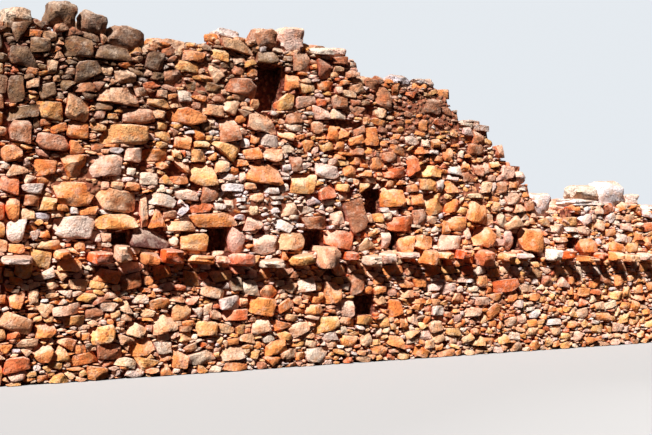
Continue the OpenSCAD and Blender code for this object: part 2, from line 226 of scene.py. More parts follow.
# Stones that stand out on the front, by tone: middle, height above the base, width, height, and
# where it matters the tilt in degrees and the outline
LANDMARKS = {
    "ochre": (
        (-4.27, 3.09, .56, .27), (-5.23, 2.17, .18, .17), (-4.39, 1.96, .55, .23, 0, "dome"),
        (-3.30, 2.87, .21, .18), (-3.60, 2.88, .12, .13), (-3.24, 2.61, .35, .33),
        (-3.35, 1.71, .40, .25), (-3.25, 3.03, .21, .10), (-1.09, 2.52, .23, .12),
        (-0.70, 2.51, .23, .17), (-0.47, 2.10, .16, .15), (-0.58, 1.88, .22, .08, 25),
        (.42, 2.62, .32, .18), (.55, 2.33, .42, .32), (2.75, 2.10, .20, .13), (-5.22, 3.31, .32, .23),
        (-4.45, 3.30, .15, .07), (-3.86, 3.52, .27, .10), (-2.01, 3.70, .28, .26),
        (-0.07, 3.43, .12, .11, 0, "round"), (-0.68, 3.51, .10, .12), (.58, 3.26, .16, .14),
        (.93, 3.44, .14, .12), (-0.40, .55, .16, .14), (-5.70, 1.33, .15, .08), (-1.74, 2.55, .42, .32),
        (3.35, 2.13, .45, .25), (.45, 2.83, .44, .20, 0, "dome"), (-2.83, 2.92, .42, .30, 0, "down"),
    ),
    "orange": (
        (-5.68, 2.77, .25, .22, 0, "round"), (-5.28, 2.61, .27, .21), (-4.92, 2.64, .30, .27),
        (-4.93, 2.30, .48, .31), (-5.07, 2.13, .16, .10), (-4.19, 2.42, .22, .13),
        (-3.86, 2.04, .26, .28, 0, "up"), (-3.51, 3.05, .24, .19), (-3.28, 3.13, .16, .14),
        (-3.10, 2.85, .13, .10), (-3.55, 2.53, .25, .11), (-2.51, 2.93, .26, .17, 12),
        (-3.06, 2.00, .60, .21), (-1.12, 2.99, .23, .12), (-0.86, 2.91, .22, .12),
        (-0.95, 2.75, .25, .18), (-0.71, 2.74, .21, .10), (-0.22, 2.40, .42, .28), (0.0, 1.72, .34, .27),
        (1.17, 2.95, .18, .22), (.86, 2.60, .27, .20), (.87, 2.30, .24, .20), (.13, 2.55, .20, .12),
        (.95, 2.03, .45, .26), (.76, 1.98, .15, .20), (1.38, 2.22, .44, .38),
        (1.45, 1.83, .46, .32, 0, "dome"), (.30, 1.68, .40, .35), (1.15, 1.75, .20, .10),
        (2.45, 1.80, .50, .38), (3.72, 1.72, .50, .25, 0, "dome"), (2.50, 2.10, .15, .12),
        (-1.88, 3.98, .19, .22), (-0.60, 3.29, .22, .30), (-1.24, 3.30, .16, .22),
        (-0.85, 3.22, .28, .14, 14), (-0.15, 4.02, .12, .18), (-0.12, 3.12, .30, .12, -15),
        (-1.10, 3.00, .35, .10), (.33, 3.52, .16, .20), (.80, 3.10, .20, .20), (.62, 3.03, .30, .10),
        (1.17, 2.97, .18, .20), (-1.27, 1.00, .30, .32), (-0.47, 1.04, .22, .12), (-0.20, .77, .25, .25),
        (.25, 1.13, .20, .14), (-0.07, .56, .16, .20), (3.35, 1.12, .12, .14), (4.45, 1.12, .22, .20),
        (3.30, .95, .15, .14), (3.60, .92, .25, .14), (2.05, .92, .20, .30), (-5.60, 1.24, .16, .12),
        (-5.60, 1.00, .18, .20), (-2.40, .85, .40, .25), (4.40, 1.66, .40, .22), (-5.69, 2.10, .25, .28),
        (-2.33, 2.66, .52, .31), (-3.55, 2.69, .25, .18), (-3.47, 3.37, .64, .36, 0, "diamond"),
    ),
    "red_orange": (
        (-3.25, 2.18, .30, .13), (-1.33, 2.44, .33, .19, 15), (-5.70, 2.40, .22, .22),
        (-0.20, 2.78, .38, .18), (-0.10, 2.01, .46, .25), (-1.14, 1.77, .48, .32), (.15, 2.92, .22, .30),
        (1.90, 1.05, .45, .25),
    ),
    "tan": (
        (-4.39, 2.43, .16, .10), (-4.53, 1.77, .14, .12), (-1.97, 2.18, .30, .20),
        (-2.45, 2.33, .25, .14), (-2.55, 2.48, .17, .10), (-0.69, 1.72, .30, .20, 0, "up"),
        (-0.63, 2.08, .12, .13), (-1.93, 1.74, .43, .25), (1.54, 2.62, .20, .20), (1.75, 2.33, .18, .16),
        (2.10, 2.45, .30, .20), (2.15, 2.10, .36, .24, 0, "up"), (1.65, 2.10, .20, .18),
        (2.25, 2.32, .24, .16), (-4.40, 3.57, .52, .24), (-4.30, 3.82, .26, .20), (-4.87, 3.35, .30, .28),
        (-5.43, 3.63, .14, .12), (-3.80, 3.64, .14, .10), (-5.20, 3.86, .12, .18),
        (-2.83, 3.56, .25, .19), (-2.46, 3.62, .18, .15), (-1.72, 4.30, .30, .30),
        (-1.50, 3.36, .20, .20), (-0.42, 3.65, .20, .20, 45), (-0.83, 3.97, .25, .15, 12),
        (-0.62, .77, .12, .18), (.10, 1.30, .14, .10), (-5.40, 1.05, .12, .20), (0, .97, .25, .12),
        (-2.70, 4.39, .50, .18), (-4.40, 2.24, .52, .29), (-2.37, 3.38, .40, .28),
    ),
    "brown_tan": (
        (-5.43, 2.21, .20, .14), (-3.13, 2.36, .24, .21), (-1.54, 2.00, .42, .20), (1.83, 2.63, .22, .22),
        (1.40, 2.90, .18, .20), (2.45, 2.35, .24, .18), (-4.80, 3.64, .28, .13), (-4.12, 3.33, .44, .20),
        (-4.62, 3.31, .15, .13), (-2.86, 3.25, .28, .35), (-1.87, 3.46, .26, .16),
        (-1.12, 3.75, .27, .20), (-0.37, 3.90, .24, .35), (-0.55, 4.08, .25, .15), (.45, 3.85, .40, .25),
        (1.42, 3.40, .25, .25), (1.35, 3.22, .30, .20), (-0.87, 1.12, .22, .30), (2.80, 1.13, .20, .20),
        (4.15, 1.15, .20, .20), (-5.62, 3.05, .37, .28), (-5.20, 2.93, .38, .21), (-1.37, 4.22, .24, .26),
        (.25, 2.12, .26, .25), (-0.87, 2.12, .34, .46, 20), (-2.65, 3.84, .48, .26),
        (1.85, 3.20, .15, .25),
    ),
    "pink_tan": (
        (-5.50, 2.66, .10, .12), (-4.53, 2.66, .43, .29), (-4.18, 2.82, .23, .19),
        (-4.56, 2.42, .14, .13), (-4.04, 2.12, .10, .46), (-2.22, 2.93, .30, .18),
        (-2.79, 1.72, .34, .33, -14), (-2.33, 1.70, .36, .31), (-2.48, 1.99, .26, .23),
        (-2.66, 2.61, .11, .16), (-0.36, 1.77, .16, .26), (-1.18, 2.08, .22, .20), (.83, 1.75, .46, .24),
        (1.15, 1.90, .12, .20, 15), (2.00, 2.87, .26, .26), (1.55, 2.93, .14, .20),
        (2.00, 1.80, .26, .32, 0, "round"), (1.80, 1.75, .16, .12), (3.05, 1.98, .30, .20),
        (3.10, 1.80, .30, .10), (3.58, 1.97, .20, .15), (4.65, 2.05, .30, .15), (4.70, 2.45, .18, .12),
        (-1.00, .78, .26, .26), (.50, 1.08, .30, .16), (1.25, .67, .30, .16), (1.00, 1.03, .12, .10),
        (3.12, 1.12, .25, .20, 0, "up"),
    ),
    "pale_pink": (
        (-4.95, 1.89, .50, .29), (-5.42, 2.35, .26, .13), (-4.66, 1.78, .12, .16),
        (-3.47, 2.35, .32, .17), (-2.86, 2.25, .13, .22), (-1.34, 2.75, .38, .23), (.64, 2.62, .12, .16),
        (1.70, 2.60, .10, .24), (1.65, 1.73, .12, .10), (2.90, 2.38, .20, .30), (4.10, 2.47, .20, .12),
        (4.62, 2.68, .20, .20), (-0.85, 3.48, .14, .08), (1.20, 3.48, .20, .15), (-1.70, 1.13, .25, .20),
        (1.25, 1.03, .20, .10), (2.52, 1.12, .12, .10), (2.15, .77, .20, .12), (-2.85, .90, .30, .20),
        (-4.50, .90, .20, .12),
    ),
    "cream": (
        (-3.98, 2.53, .25, .17), (-4.53, 1.68, .20, .06), (-2.50, 2.16, .14, .16),
        (-0.31, 2.13, .15, .10), (.16, 1.99, .22, .05), (1.17, 1.67, .20, .06), (1.27, 2.48, .32, .08),
        (1.87, 2.10, .20, .20), (1.78, 1.92, .10, .20), (3.35, 1.76, .13, .08), (-1.86, 3.33, .27, .10),
        (.38, 3.26, .16, .14), (1.07, 3.13, .10, .15), (-0.94, 3.90, .25, .10),
        (-1.14, 3.58, .30, .14, 0, "dome"), (-5.66, 1.82, .30, .30),
    ),
    "white": (
        (-4.41, 2.87, .18, .08), (-4.21, 2.61, .12, .11), (-4.72, 1.66, .12, .06),
        (-3.50, 2.14, .22, .10, 40), (-2.79, 2.46, .33, .13), (-2.23, 2.44, .22, .10),
        (-2.70, 2.30, .16, .05), (-2.66, 2.20, .14, .05), (-2.14, 2.34, .20, .05),
        (-2.15, 2.27, .18, .05), (.95, 2.87, .30, .18), (3.40, 1.98, .40, .10), (2.65, 2.44, .25, .15),
        (4.85, 2.56, .20, .12), (5.20, 2.30, .25, .16), (-1.45, 4.47, .35, .10), (-1.62, 3.56, .20, .05),
        (1.20, 3.62, .30, .10, -20), (1.45, 3.56, .30, .10), (.55, 3.12, .25, .07), (.58, .70, .25, .18),
        (1.20, 1.15, .20, .06), (2.50, .58, .22, .12), (2.95, .46, .35, .10),
    ),
    "grey_brown": (
        (-4.89, 4.14, .38, .25), (-4.42, 4.12, .45, .20), (-3.89, 4.06, .28, .28),
        (-4.76, 3.88, .32, .23, 12), (-5.67, 3.53, .30, .36), (-3.87, 3.86, .18, .10),
        (-3.10, 3.80, .29, .13), (-2.28, 4.28, .36, .18), (-5.62, 3.96, .34, .24),
        (-5.35, 4.12, .24, .20), (-2.75, 1.17, .18, .20),
    ),
    "dark_brown": (
        (-3.97, 1.77, .48, .27),
    ),
}

# Gaps between stones of the front that were never pinned: both ends, lowest and highest edge
OPEN_GAPS = (
    (-0.70, -0.52, 3.59, 3.74), (0.86, 1.03, 3.30, 3.38), (-1.25, -0.80, 3.41, 3.50),
    (-3.70, -3.55, 2.60, 2.70), (-4.10, -4.00, 2.62, 2.74), (-3.42, -3.28, 2.40, 2.48),
    (-0.95, -0.88, 2.38, 2.52), (1.62, 1.72, 2.05, 2.14), (2.44, 2.66, 1.44, 1.60),
    (-2.11, -2.05, 3.74, 3.90), (-2.11, -1.985, 3.89, 4.19),
)

# How far the right side of the tall niche leans outwards at its top
NICHE_LEAN = 0.09

# Slabs of the ledge on the front: both ends of the nose, lowest and highest edge, tone, and where
# it matters the tilt in degrees
FRONT_SLABS = (
    (-6.00, -5.85, 1.45, 1.58, "tan"), (-5.80, -5.43, 1.46, 1.55, "pale_pink"),
    (-5.19, -5.00, 1.51, 1.62, "orange"), (-4.79, -4.50, 1.45, 1.60, "ember"),
    (-4.45, -4.23, 1.47, 1.68, "tan"), (-4.12, -3.90, 1.44, 1.59, "orange"),
    (-3.85, -3.57, 1.46, 1.64, "ember"), (-3.47, -3.12, 1.43, 1.55, "orange"),
    (-3.07, -2.94, 1.44, 1.54, "pink_tan"), (-2.87, -2.55, 1.40, 1.58, "pink_red"),
    (-2.43, -2.11, 1.39, 1.50, "pale_pink", 6), (-1.97, -1.61, 1.42, 1.57, "ochre", 9),
    (-1.53, -1.28, 1.37, 1.68, "tan"), (-1.12, -0.91, 1.49, 1.61, "ember"),
    (-0.76, -0.56, 1.40, 1.56, "pale_pink", 6), (-0.49, -0.26, 1.44, 1.61, "pink_tan", 8),
    (-0.14, 0.11, 1.50, 1.60, "pink_tan"), (0.24, 0.46, 1.40, 1.64, "orange"),
    (0.56, 0.77, 1.48, 1.60, "orange"), (0.86, 1.07, 1.50, 1.64, "ember"),
    (1.32, 1.58, 1.39, 1.64, "red_orange"), (1.76, 2.00, 1.46, 1.60, "orange"),
    (2.13, 2.32, 1.49, 1.58, "pale_pink"), (2.74, 2.96, 1.46, 1.65, "white"),
    (3.06, 3.25, 1.48, 1.62, "ember"), (3.45, 3.76, 1.44, 1.54, "orange", -4),
    (3.80, 3.98, 1.49, 1.61, "ember"), (4.18, 4.40, 1.46, 1.62, "orange"),
    (4.52, 4.76, 1.45, 1.58, "tan"), (4.88, 5.16, 1.46, 1.60, "pink_tan"),
    (5.28, 5.52, 1.44, 1.58, "orange"), (5.62, 6.00, 1.45, 1.58, "red_orange"),
)

# Tones of the boulders on the broken top, by their place along the wall
CAP_TONES = (
    (-5.62, "cream"), (-5.39, "dark_brown"), (-5.09, "grey_brown"), (-4.68, "grey_brown"),
    (-4.27, "grey_brown"), (-4.00, "orange"), (-3.02, "white"), (-2.28, "brown_tan"),
    (-1.87, "pink_tan"), (-0.02, "white"), (2.31, "pale_pink"), (2.79, "white"), (3.70, "white"),
    (4.41, "white"), (4.90, "pale_pink"), (5.19, "white"),
)

# Where tones gather on the faces: middle, height, spread along, spread up, strength, tones and shares
TONE_FIELDS = (
    (0.0, 2.0, 20.0, 20.0, 1.0,
     {"orange": 7, "ochre": 6, "tan": 4, "pink_tan": 2, "cream": 2, "red_orange": 2, "pale_pink": 1}),
    (-4.9, 4.2, 1.7, 0.75, 4.0, {"grey_brown": 5, "brown_tan": 3, "tan": 2}),
    (-2.0, 4.2, 1.4, 0.55, 3.0, {"tan": 4, "grey_brown": 3, "brown_tan": 3, "ochre": 1}),
    (0.6, 3.9, 1.5, 0.70, 7.0, {"brown_tan": 6, "orange": 2, "pink_tan": 2, "red_orange": 1}),
    (-2.4, 2.3, 1.0, 0.42, 16.0, {"white": 8, "pale_pink": 4, "cream": 2}),
    (3.4, 2.1, 1.0, 0.45, 1.5, {"pale_pink": 4, "pink_tan": 4, "white": 2}),
    (-3.0, 0.9, 3.0, 0.50, 1.5, {"tan": 4, "orange": 3, "brown_tan": 3, "pink_tan": 2}),
)
# Tones that are added for the smallest stones, and how much they weigh
PALE_WEIGHT = 1.1
PALE_TONES = {"white": 4, "pale_pink": 6, "cream": 4, "pink_tan": 4, "tan": 2, "ochre": 2, "orange": 2}

# Where coarse stones are rare: middle, height, spread along, spread up, share left out
SLIVER_FIELDS = (
    (-2.35, 2.28, 0.80, 0.30, 0.80),
    (0.7, 3.75, 1.4, 0.60, 0.75),
    (-4.0, 3.35, 0.5, 0.2, 0.5),
)

# Where earth and fine rubble fill the joints nearly flush: middle, height, spread along, spread up,
# and how far they lie behind the wall's face
EARTH_FIELDS = (
    (0.75, 3.72, 1.25, 0.55, -0.004),
    (-3.10, 4.12, 0.45, 0.25, 0.010),
    (-2.40, 2.28, 0.85, 0.29, 0.000),
    (1.75, 2.60, 1.50, 0.36, 0.000),
    (-0.30, 3.00, 0.80, 0.32, 0.008),
    (-4.85, 2.50, 0.80, 0.34, 0.006),
    (-3.25, 3.70, 0.58, 0.26, 0.004),
)
# The cells along a sheet of earth, how far it reaches, in spreads, and how far behind the wall's
# face its edges and its back lie
EARTH_CELLS = 40
EARTH_REACH = 1.3
EARTH_DEPTH = 0.13
EARTH_BACK = 0.16
# How far a sheet stays under the broken top, the shortest sheet, and the height and length of its
# lumps
EARTH_UNDER_TOP = 0.03
EARTH_SHORTEST = 0.1
EARTH_LUMPS = (0.009, 0.30)

# Where lichen and dirt gather, and where painted shade lies under the ledge: middle, height, spread
# along, spread up, strength
WEATHER_AND_SHADE_FIELDS = (
    (-5.0, 4.1, 1.9, 1.0, 0.9),
    (-2.0, 4.3, 1.6, 0.6, 0.4),
    (0.6, 3.9, 1.4, 0.7, 0.85),
    (0.0, 0.0, 9.0, 0.4, 0.30),
    # This row is painted shade: it darkens the stones under the ledge, where its shadow falls
    (0.0, 1.28, 9.0, 0.16, 0.45),
)
# How much of them there is everywhere
LEAST_WEATHER = 0.12

# The camera's place, its turn to the right and tilt upwards in degrees, and its lens in millimetres
CAMERA_PLACE = (-7.687, -11.68, 1.55)
CAMERA_YAW = 29.4
CAMERA_PITCH = 2.37
CAMERA_LENS = 49.97
# Half the length of the floor
FLOOR_HALF = 120
# Directions from the wall to the two lamps
TO_KEY = (-0.28, -0.20, 0.38)
TO_BACK = (0.45, 0.60, 0.30)


def linear(red, green, blue):
    """A colour as it is seen on a screen, as Blender's linear values."""
    return tuple(c / 12.92 if c <= 0.04045 else ((c + 0.055) / 1.055) ** 2.4 for c in (red, green, blue))


def tone_property(name, description, *seen):
    """A colour of the panel, whose default is given as it is seen on a screen."""
    return FloatVectorProperty(name=name, description=description, subtype="COLOR", size=3, min=0, max=1,
                               default=linear(*seen))


class StoneTones(bpy.types.PropertyGroup):
    """Colours of the stones, each a tone that a stone takes before it is varied."""
    ochre: tone_property("Ochre", "Yellow brown sandstone", 0.96, 0.70, 0.43)
    orange: tone_property("Orange", "Orange sandstone", 0.95, 0.60, 0.34)
    red_orange: tone_property("Red orange", "Sandstone rich in iron", 0.90, 0.49, 0.29)
    ember: tone_property("Ember", "The reddest slabs", 0.93, 0.41, 0.17)
    pink_red: tone_property("Pink red", "Mottled red and pink sandstone", 0.93, 0.51, 0.36)
    tan: tone_property("Tan", "Plain weathered sandstone", 0.94, 0.73, 0.56)
    brown_tan: tone_property("Brown", "Brown weathered sandstone", 0.77, 0.51, 0.36)
    pink_tan: tone_property("Pink tan", "Pink sandstone", 0.95, 0.76, 0.65)
    pale_pink: tone_property("Pale pink", "Pale pink limestone", 0.94, 0.82, 0.74)
    cream: tone_property("Cream", "Pale yellow sandstone", 0.94, 0.82, 0.70)
    white: tone_property("White", "White limestone", 0.93, 0.86, 0.81)
    grey_brown: tone_property("Grey brown", "Sandstone under lichen", 0.62, 0.47, 0.34)
    dark_brown: tone_property("Dark brown", "Dark purple brown stone", 0.46, 0.29, 0.27)
    earth: tone_property("Earth", "Earth and small rubble between the stones", 0.26, 0.13, 0.10)


class StoneSizes(bpy.types.PropertyGroup):
    """How the stones are dressed and laid."""
    joint: FloatProperty(name="Joint", description="Width of the gap that is left round a stone",
                         default=0.005, min=0, unit="LENGTH")
    tilt: FloatProperty(name="Tilt", description="How far a stone may lie out of level",
                        default=math.radians(11), subtype="ANGLE")
    bulge: FloatProperty(name="Bulge", description="Swell of a stone's face, as a share of its size",
                         default=0.16, min=0)
    lean: FloatProperty(name="Lean", description="How far a stone's face leans, as a slope",
                        default=0.14, min=0)
    rough: FloatProperty(name="Roughness", description="Unevenness of a face, as a share of its size",
                         default=0.045, min=0)
    slab_out: FloatProperty(name="Ledge reach", description="How far the ledge stands out of the face",
                            default=LEDGE_OUT, unit="LENGTH")


class StageLook(bpy.types.PropertyGroup):
    """The plain stage that the wall stands on."""
    floor: tone_property("Floor", "Colour of the floor", 0.67, 0.665, 0.66)
    sky: tone_property("Backdrop", "Colour behind the wall", 0.90, 0.92, 0.94)
    bounce: tone_property("Bounce", "Colour of the floor as it lights the wall", 0.10, 0.09, 0.095)
    fill: tone_property("Fill", "Colour of the light from all round", 1.0, 0.80, 0.82)
    fill_strength: FloatProperty(name="Fill strength", description="Strength of the light from all round",
                                 default=0.045, min=0)
    key_strength: FloatProperty(name="Key strength", description="Strength of the lamp in front",
                                default=7.7, min=0)
    key_width: FloatProperty(name="Key width", description="Width of the lamp in front, from the wall",
                             default=math.radians(4), subtype="ANGLE")
    back_strength: FloatProperty(name="Back strength", description="Strength of the lamp behind the wall",
                                 default=3.2, min=0)
    back_width: FloatProperty(name="Back width", description="Width of the lamp behind, from the wall",
                              default=math.radians(25), subtype="ANGLE")


def half_thickness(z):
    """Half the thickness of the wall at a height."""
    return BASE_HALF - BATTER * z


def near(s, z, field, power):
    """1 in the middle of a field, which is a middle, a height and two spreads, and less away from it."""
    middle, height, along, up = field[:4]
    return np.exp(-((s - middle) / along) ** power - ((z - height) / up) ** power)


def near_deepest(x):
    """1 where the shadow under the ledge is deepest, and less along the wall from there."""
    return np.exp(-((x - DEEPEST_PLACE) / DEEPEST_SPREAD) ** 2)


def wall_nodes(side):
    """The nodes whose level tops make the broken top of one leaf."""
    heads = ["left_head_wall", "right_head_wall"]
    return [f"{side}_wall_bay_{bay + 1}" for bay in range(BAYS)] + heads


def top_profile(names, x):
    """Height of the broken top at each x, from the level faces of these nodes."""
    top = np.full(x.shape, LEDGE_TOP)
    for name in names:
        mesh = NODES[name].data
        for face in mesh.polygons:
            if face.normal.z > 0.9:
                points = [mesh.vertices[i].co for i in face.vertices]
                low = min(p.x for p in points)
                high = max(p.x for p in points)
                under = (x >= low) & (x <= high)
                top[under] = np.maximum(top[under], points[0].z)
    return top


def bay_of(x):
    """The bay that holds this place along the wall, from 0."""
    return min(BAYS - 1, max(0, int((x + HALF_LEN) / BAY_LEN)))


# Tones


def tone_at(random, x, z, small):
    """Picks the name of a tone for a stone that lies at x and z."""
    shares = {}
    for *field, strength, tones in TONE_FIELDS:
        weight = strength * near(x, z, field, 2)
        total = sum(tones.values())
        for name, share in tones.items():
            shares[name] = shares.get(name, 0) + weight * share / total
    if small:
        total = sum(PALE_TONES.values())
        for name, share in PALE_TONES.items():
            shares[name] = shares.get(name, 0) + PALE_WEIGHT * share / total
    names = list(shares)
    weights = np.array([shares[name] for name in names])
    return names[random.choice(len(names), p=weights / weights.sum())]


def weather_and_shade_at(x, z):
    """How much lichen and dirt there is at each place, and under the ledge how much painted shade, from 0
    to 1.
    """
    weather = LEAST_WEATHER
    for *field, strength in WEATHER_AND_SHADE_FIELDS:
        weather = weather + strength * near(x, z, field, 2)
    return np.clip(weather, 0, 1)


def sliver_at(x, z):
    """The share of coarse stones that is left out at a place."""
    return max(share * near(x, z, field, 4) for *field, share in SLIVER_FIELDS)


def varied(random, tone, count):
    """The tone's colour, a little lighter, darker or redder for each of count stones."""
    value = random.normal(1.01, 0.06, (count, 1))
    warmth = random.normal(0.0, 0.07, (count, 1))
    pink = np.abs(random.normal(0.0, 0.06, (count, 1)))
    redder = np.array([[0.2, 0.0, -1.0]])
    pinker = np.array([[0.15, -0.5, -0.35]])
    colours = np.array(tone)[None, :] * value * (1 + warmth * redder + pink * pinker)
    return np.clip(colours, 0.01, 1)


# The plan of a face

# A stone in the plan: its middle, half its width and height, its tilt, the directions and distances
# of its sides, its kind, and its tone, or None where it has fallen out
Stone = namedtuple("Stone", "s z half_w half_h tilt angles offsets kind tone")


def make_outline(random, form):
    """Directions and distances of the sides of one stone, each a little off the form's own."""
    sides = list(OUTLINES[form])
    if form == "block":
        sides += [(45 + 90 * i, random.uniform(1.12, 1.32)) for i in range(4)
                  if random.random() < BROKEN_CORNERS]
        if random.random() < SLANTING_BLOCKS:
            sides.append((random.choice([75, 105, 255, 285]), random.uniform(0.85, 0.95)))
    degrees = np.array([side[0] for side in sides]) + random.normal(0, 9.0, len(sides))
    distances = np.array([side[1] for side in sides]) * random.normal(0.98, 0.07, len(sides))
    return np.radians(degrees), distances


def gauge(stone, s, z):
    """Distance of points from a stone's middle, where 1 is its outline."""
    along = (s - stone.s) * math.cos(stone.tilt) + (z - stone.z) * math.sin(stone.tilt)
    up = (z - stone.z) * math.cos(stone.tilt) - (s - stone.s) * math.sin(stone.tilt)
    u = along / stone.half_w
    v = up / stone.half_h
    furthest = np.zeros(u.shape)
    for angle, offset in zip(stone.angles, stone.offsets):
        furthest = np.maximum(furthest, (u * math.cos(angle) + v * math.sin(angle)) / offset)
    return furthest


class Face:
    """One side of the wall seen square on: s runs to the viewer's right and z up."""

    def __init__(self, s_low, s_high, top, seed, tilt):
        """Starts an empty plan, in which only the pixels over the broken top are closed."""
        self.random = np.random.default_rng(seed)
        self.tilt = tilt
        self.s_low = s_low
        self.columns = round((s_high - s_low) / PIXEL)
        self.s = s_low + (np.arange(self.columns) + 0.5) * PIXEL
        self.top = top(self.s)
        self.rows = round((self.top.max() + OVER_TOP) / PIXEL)
        self.z = (np.arange(self.rows) + 0.5) * PIXEL
        self.nearest = np.full((self.rows, self.columns), FREE)
        self.owner = np.full((self.rows, self.columns), -1)
        self.closed = self.z[:, None] > self.top[None, :] + OVER_TOP
        self.stones = []

    def close(self, s_low, s_high, z_low, z_high):
        """Keeps stones out of a rectangle."""
        rows = np.flatnonzero((self.z > z_low) & (self.z < z_high))
        columns = np.flatnonzero((self.s > s_low) & (self.s < s_high))
        self.closed[np.ix_(rows, columns)] = True

    def window(self, stone):
        """The rows and columns of pixels that a stone may reach."""
        radius = math.hypot(stone.half_w, stone.half_h) * KINDS[stone.kind].reach
        first = int(max(0, (stone.s - radius - self.s_low) / PIXEL))
        last = int(max(first + 1, min(self.columns, (stone.s + radius - self.s_low) / PIXEL + 1)))
        low = int(max(0, (stone.z - radius) / PIXEL))
        high = int(max(low + 1, min(self.rows, (stone.z + radius) / PIXEL + 1)))
        return slice(low, high), slice(first, last)

    def lay(self, stone, may_refuse=True):
        """Lays a stone where it fits, and lets it hold the pixels that are nearest to it."""
        rows, columns = self.window(stone)
        distance = gauge(stone, self.s[None, columns], self.z[rows, None])
        core = distance < 1
        nearest = self.nearest[rows, columns]
        closed = self.closed[rows, columns]
        kind = KINDS[stone.kind]
        taken = np.count_nonzero(core & ((nearest < 1) | closed))
        if may_refuse and taken > kind.overlap * np.count_nonzero(core):
            return
        better = (distance < nearest) & (distance < kind.reach) & ~closed
        nearest[better] = distance[better]
        self.owner[rows, columns][better] = len(self.stones)
        self.stones.append(stone)

    def lay_landmarks(self):
        """Lays the stones that stand out, each in its own place."""
        for tone, stones in LANDMARKS.items():
            for s, z, width, height, *more in stones:
                tilt = math.radians(more[0]) if more else self.random.normal(0, 0.06)
                form = more[1] if len(more) > 1 else "block"
                angles, offsets = make_outline(self.random, form)
                stone = Stone(s, z, width / 2, height / 2, tilt, angles, offsets, "landmark", tone)
                self.lay(stone, may_refuse=False)

    def scatter(self, name, x_of, share=1.0):
        """Tries many places for stones of one kind and lays those that fit."""
        kind = KINDS[name]
        for _ in range(PASSES):
            room = (self.nearest > 1) & ~self.closed & (self.z[:, None] < self.top[None, :] - UNDER_TOP)
            free = np.flatnonzero(room)
            if not free.size:
                return
            for spot in self.random.choice(free, int(kind.tries * share)):
                row, column = divmod(int(spot), self.columns)
                if self.nearest[row, column] <= 1:
                    continue
                s, z = self.s[column], self.z[row]
                x = x_of(s)
                sliver = sliver_at(x, z)
                if name in ("big", "middling") and self.random.random() < sliver:
                    continue
                size = np.interp(x, SIZE_PLACES, SIZE_FACTORS)
                width = self.random.uniform(*kind.widths) * size
                height = self.random.uniform(*kind.heights) * size * (1 - FLATTER * sliver)
                tilt = self.random.normal(0, self.tilt)
                form = self.random.choice(list(FORM_SHARES), p=list(FORM_SHARES.values()))
                angles, offsets = make_outline(self.random, form)
                tone = tone_at(self.random, x, z, name in ("small", "pinning"))
                if name == "small" and self.random.random() < MISSING:
                    tone = None
                self.lay(Stone(s, z, width / 2, height / 2, tilt, angles, offsets, name, tone))

    def own_sides(self, stone, s, z, angles):
        """Reach in each direction to the stone's own sides, drawn round its pixels at s and z."""
        cos, sin = math.cos(stone.tilt), math.sin(stone.tilt)
        u = (s * cos + z * sin) / stone.half_w
        v = (z * cos - s * sin) / stone.half_h
        reach = np.full(DIRECTIONS, RAY_REACH)
        for side in stone.angles:
            offset = np.quantile(u * math.cos(side) + v * math.sin(side), SIDE_SHARE)
            reach = np.minimum(reach, offset / np.maximum(np.cos(angles - side), GRAZING))
        return reach

    def free_reach(self, number, middle_s, middle_z, angles, steps):
        """Reach in each direction over the pixels that a stone holds, and a little past them."""
        stone = self.stones[number]
        cos, sin = math.cos(stone.tilt), math.sin(stone.tilt)
        ray_u = stone.half_w * np.cos(angles)[:, None] * steps
        ray_v = stone.half_h * np.sin(angles)[:, None] * steps
        ray_s = middle_s + ray_u * cos - ray_v * sin
        ray_z = middle_z + ray_u * sin + ray_v * cos
        column = np.clip(((ray_s - self.s_low) / PIXEL).astype(int), 0, self.columns - 1)
        row = np.clip((ray_z / PIXEL).astype(int), 0, self.rows - 1)
        inside = (ray_s > self.s_low) & (ray_s < -self.s_low)
        inside &= (ray_z > 0) & (ray_z < self.rows * PIXEL)
        own = (self.owner[row, column] == number) & inside
        ray = steps[np.where(own.all(1), RAY_STEPS - 1, np.argmin(own, 1))]
        closed = (self.closed[row, column] | ~inside).argmax(axis=1)
        return np.minimum(ray * RAY_OVER, np.where(closed > 0, steps[closed], RAY_REACH))

    def reaches(self):
        """Each stone's own middle, and how far it reaches from there in DIRECTIONS directions."""
        count = len(self.stones)
        rows, columns = np.nonzero(self.owner >= 0)
        owners = self.owner[rows, columns]
        order = np.argsort(owners, kind="stable")
        own_s = self.s[columns][order]
        own_z = self.z[rows][order]
        starts = np.searchsorted(owners[order], np.arange(count + 1))
        angles = np.arange(DIRECTIONS) * 2 * math.pi / DIRECTIONS
        steps = np.linspace(0, RAY_REACH, RAY_STEPS)
        middle_s = np.zeros(count)
        middle_z = np.zeros(count)
        reach = np.zeros((count, DIRECTIONS))
        for i, stone in enumerate(self.stones):
            s = own_s[starts[i]:starts[i + 1]]
            z = own_z[starts[i]:starts[i + 1]]
            if s.size < FEWEST_PIXELS:
                continue
            middle_s[i], middle_z[i] = s.mean(), z.mean()
            straight = self.own_sides(stone, s - middle_s[i], z - middle_z[i], angles)
            ray = self.free_reach(i, middle_s[i], middle_z[i], angles, steps)
            for _ in range(CUTS):
                worst = np.argmin(ray / straight)
                if ray[worst] > straight[worst]:
                    break
                facing = np.maximum(np.cos(angles - angles[worst]), GRAZING)
                straight = np.minimum(straight, max(ray[worst], LEAST_REACH) / facing)
            reach[i] = straight
        reach = (np.roll(reach, 1, 1) + 8 * reach + np.roll(reach, -1, 1)) / 10
        reach = np.minimum(reach, SHARPEST * (np.roll(reach, 2, 1) + np.roll(reach, -2, 1)) / 2)
        reach *= self.random.normal(1.0, 0.012, reach.shape)
        return middle_s, middle_z, reach


# Templates and joined meshes

# The places of a shape's vertices, the corners of its faces one after the other, and how many
# corners each face has
Template = namedtuple("Template", "co corners counts")


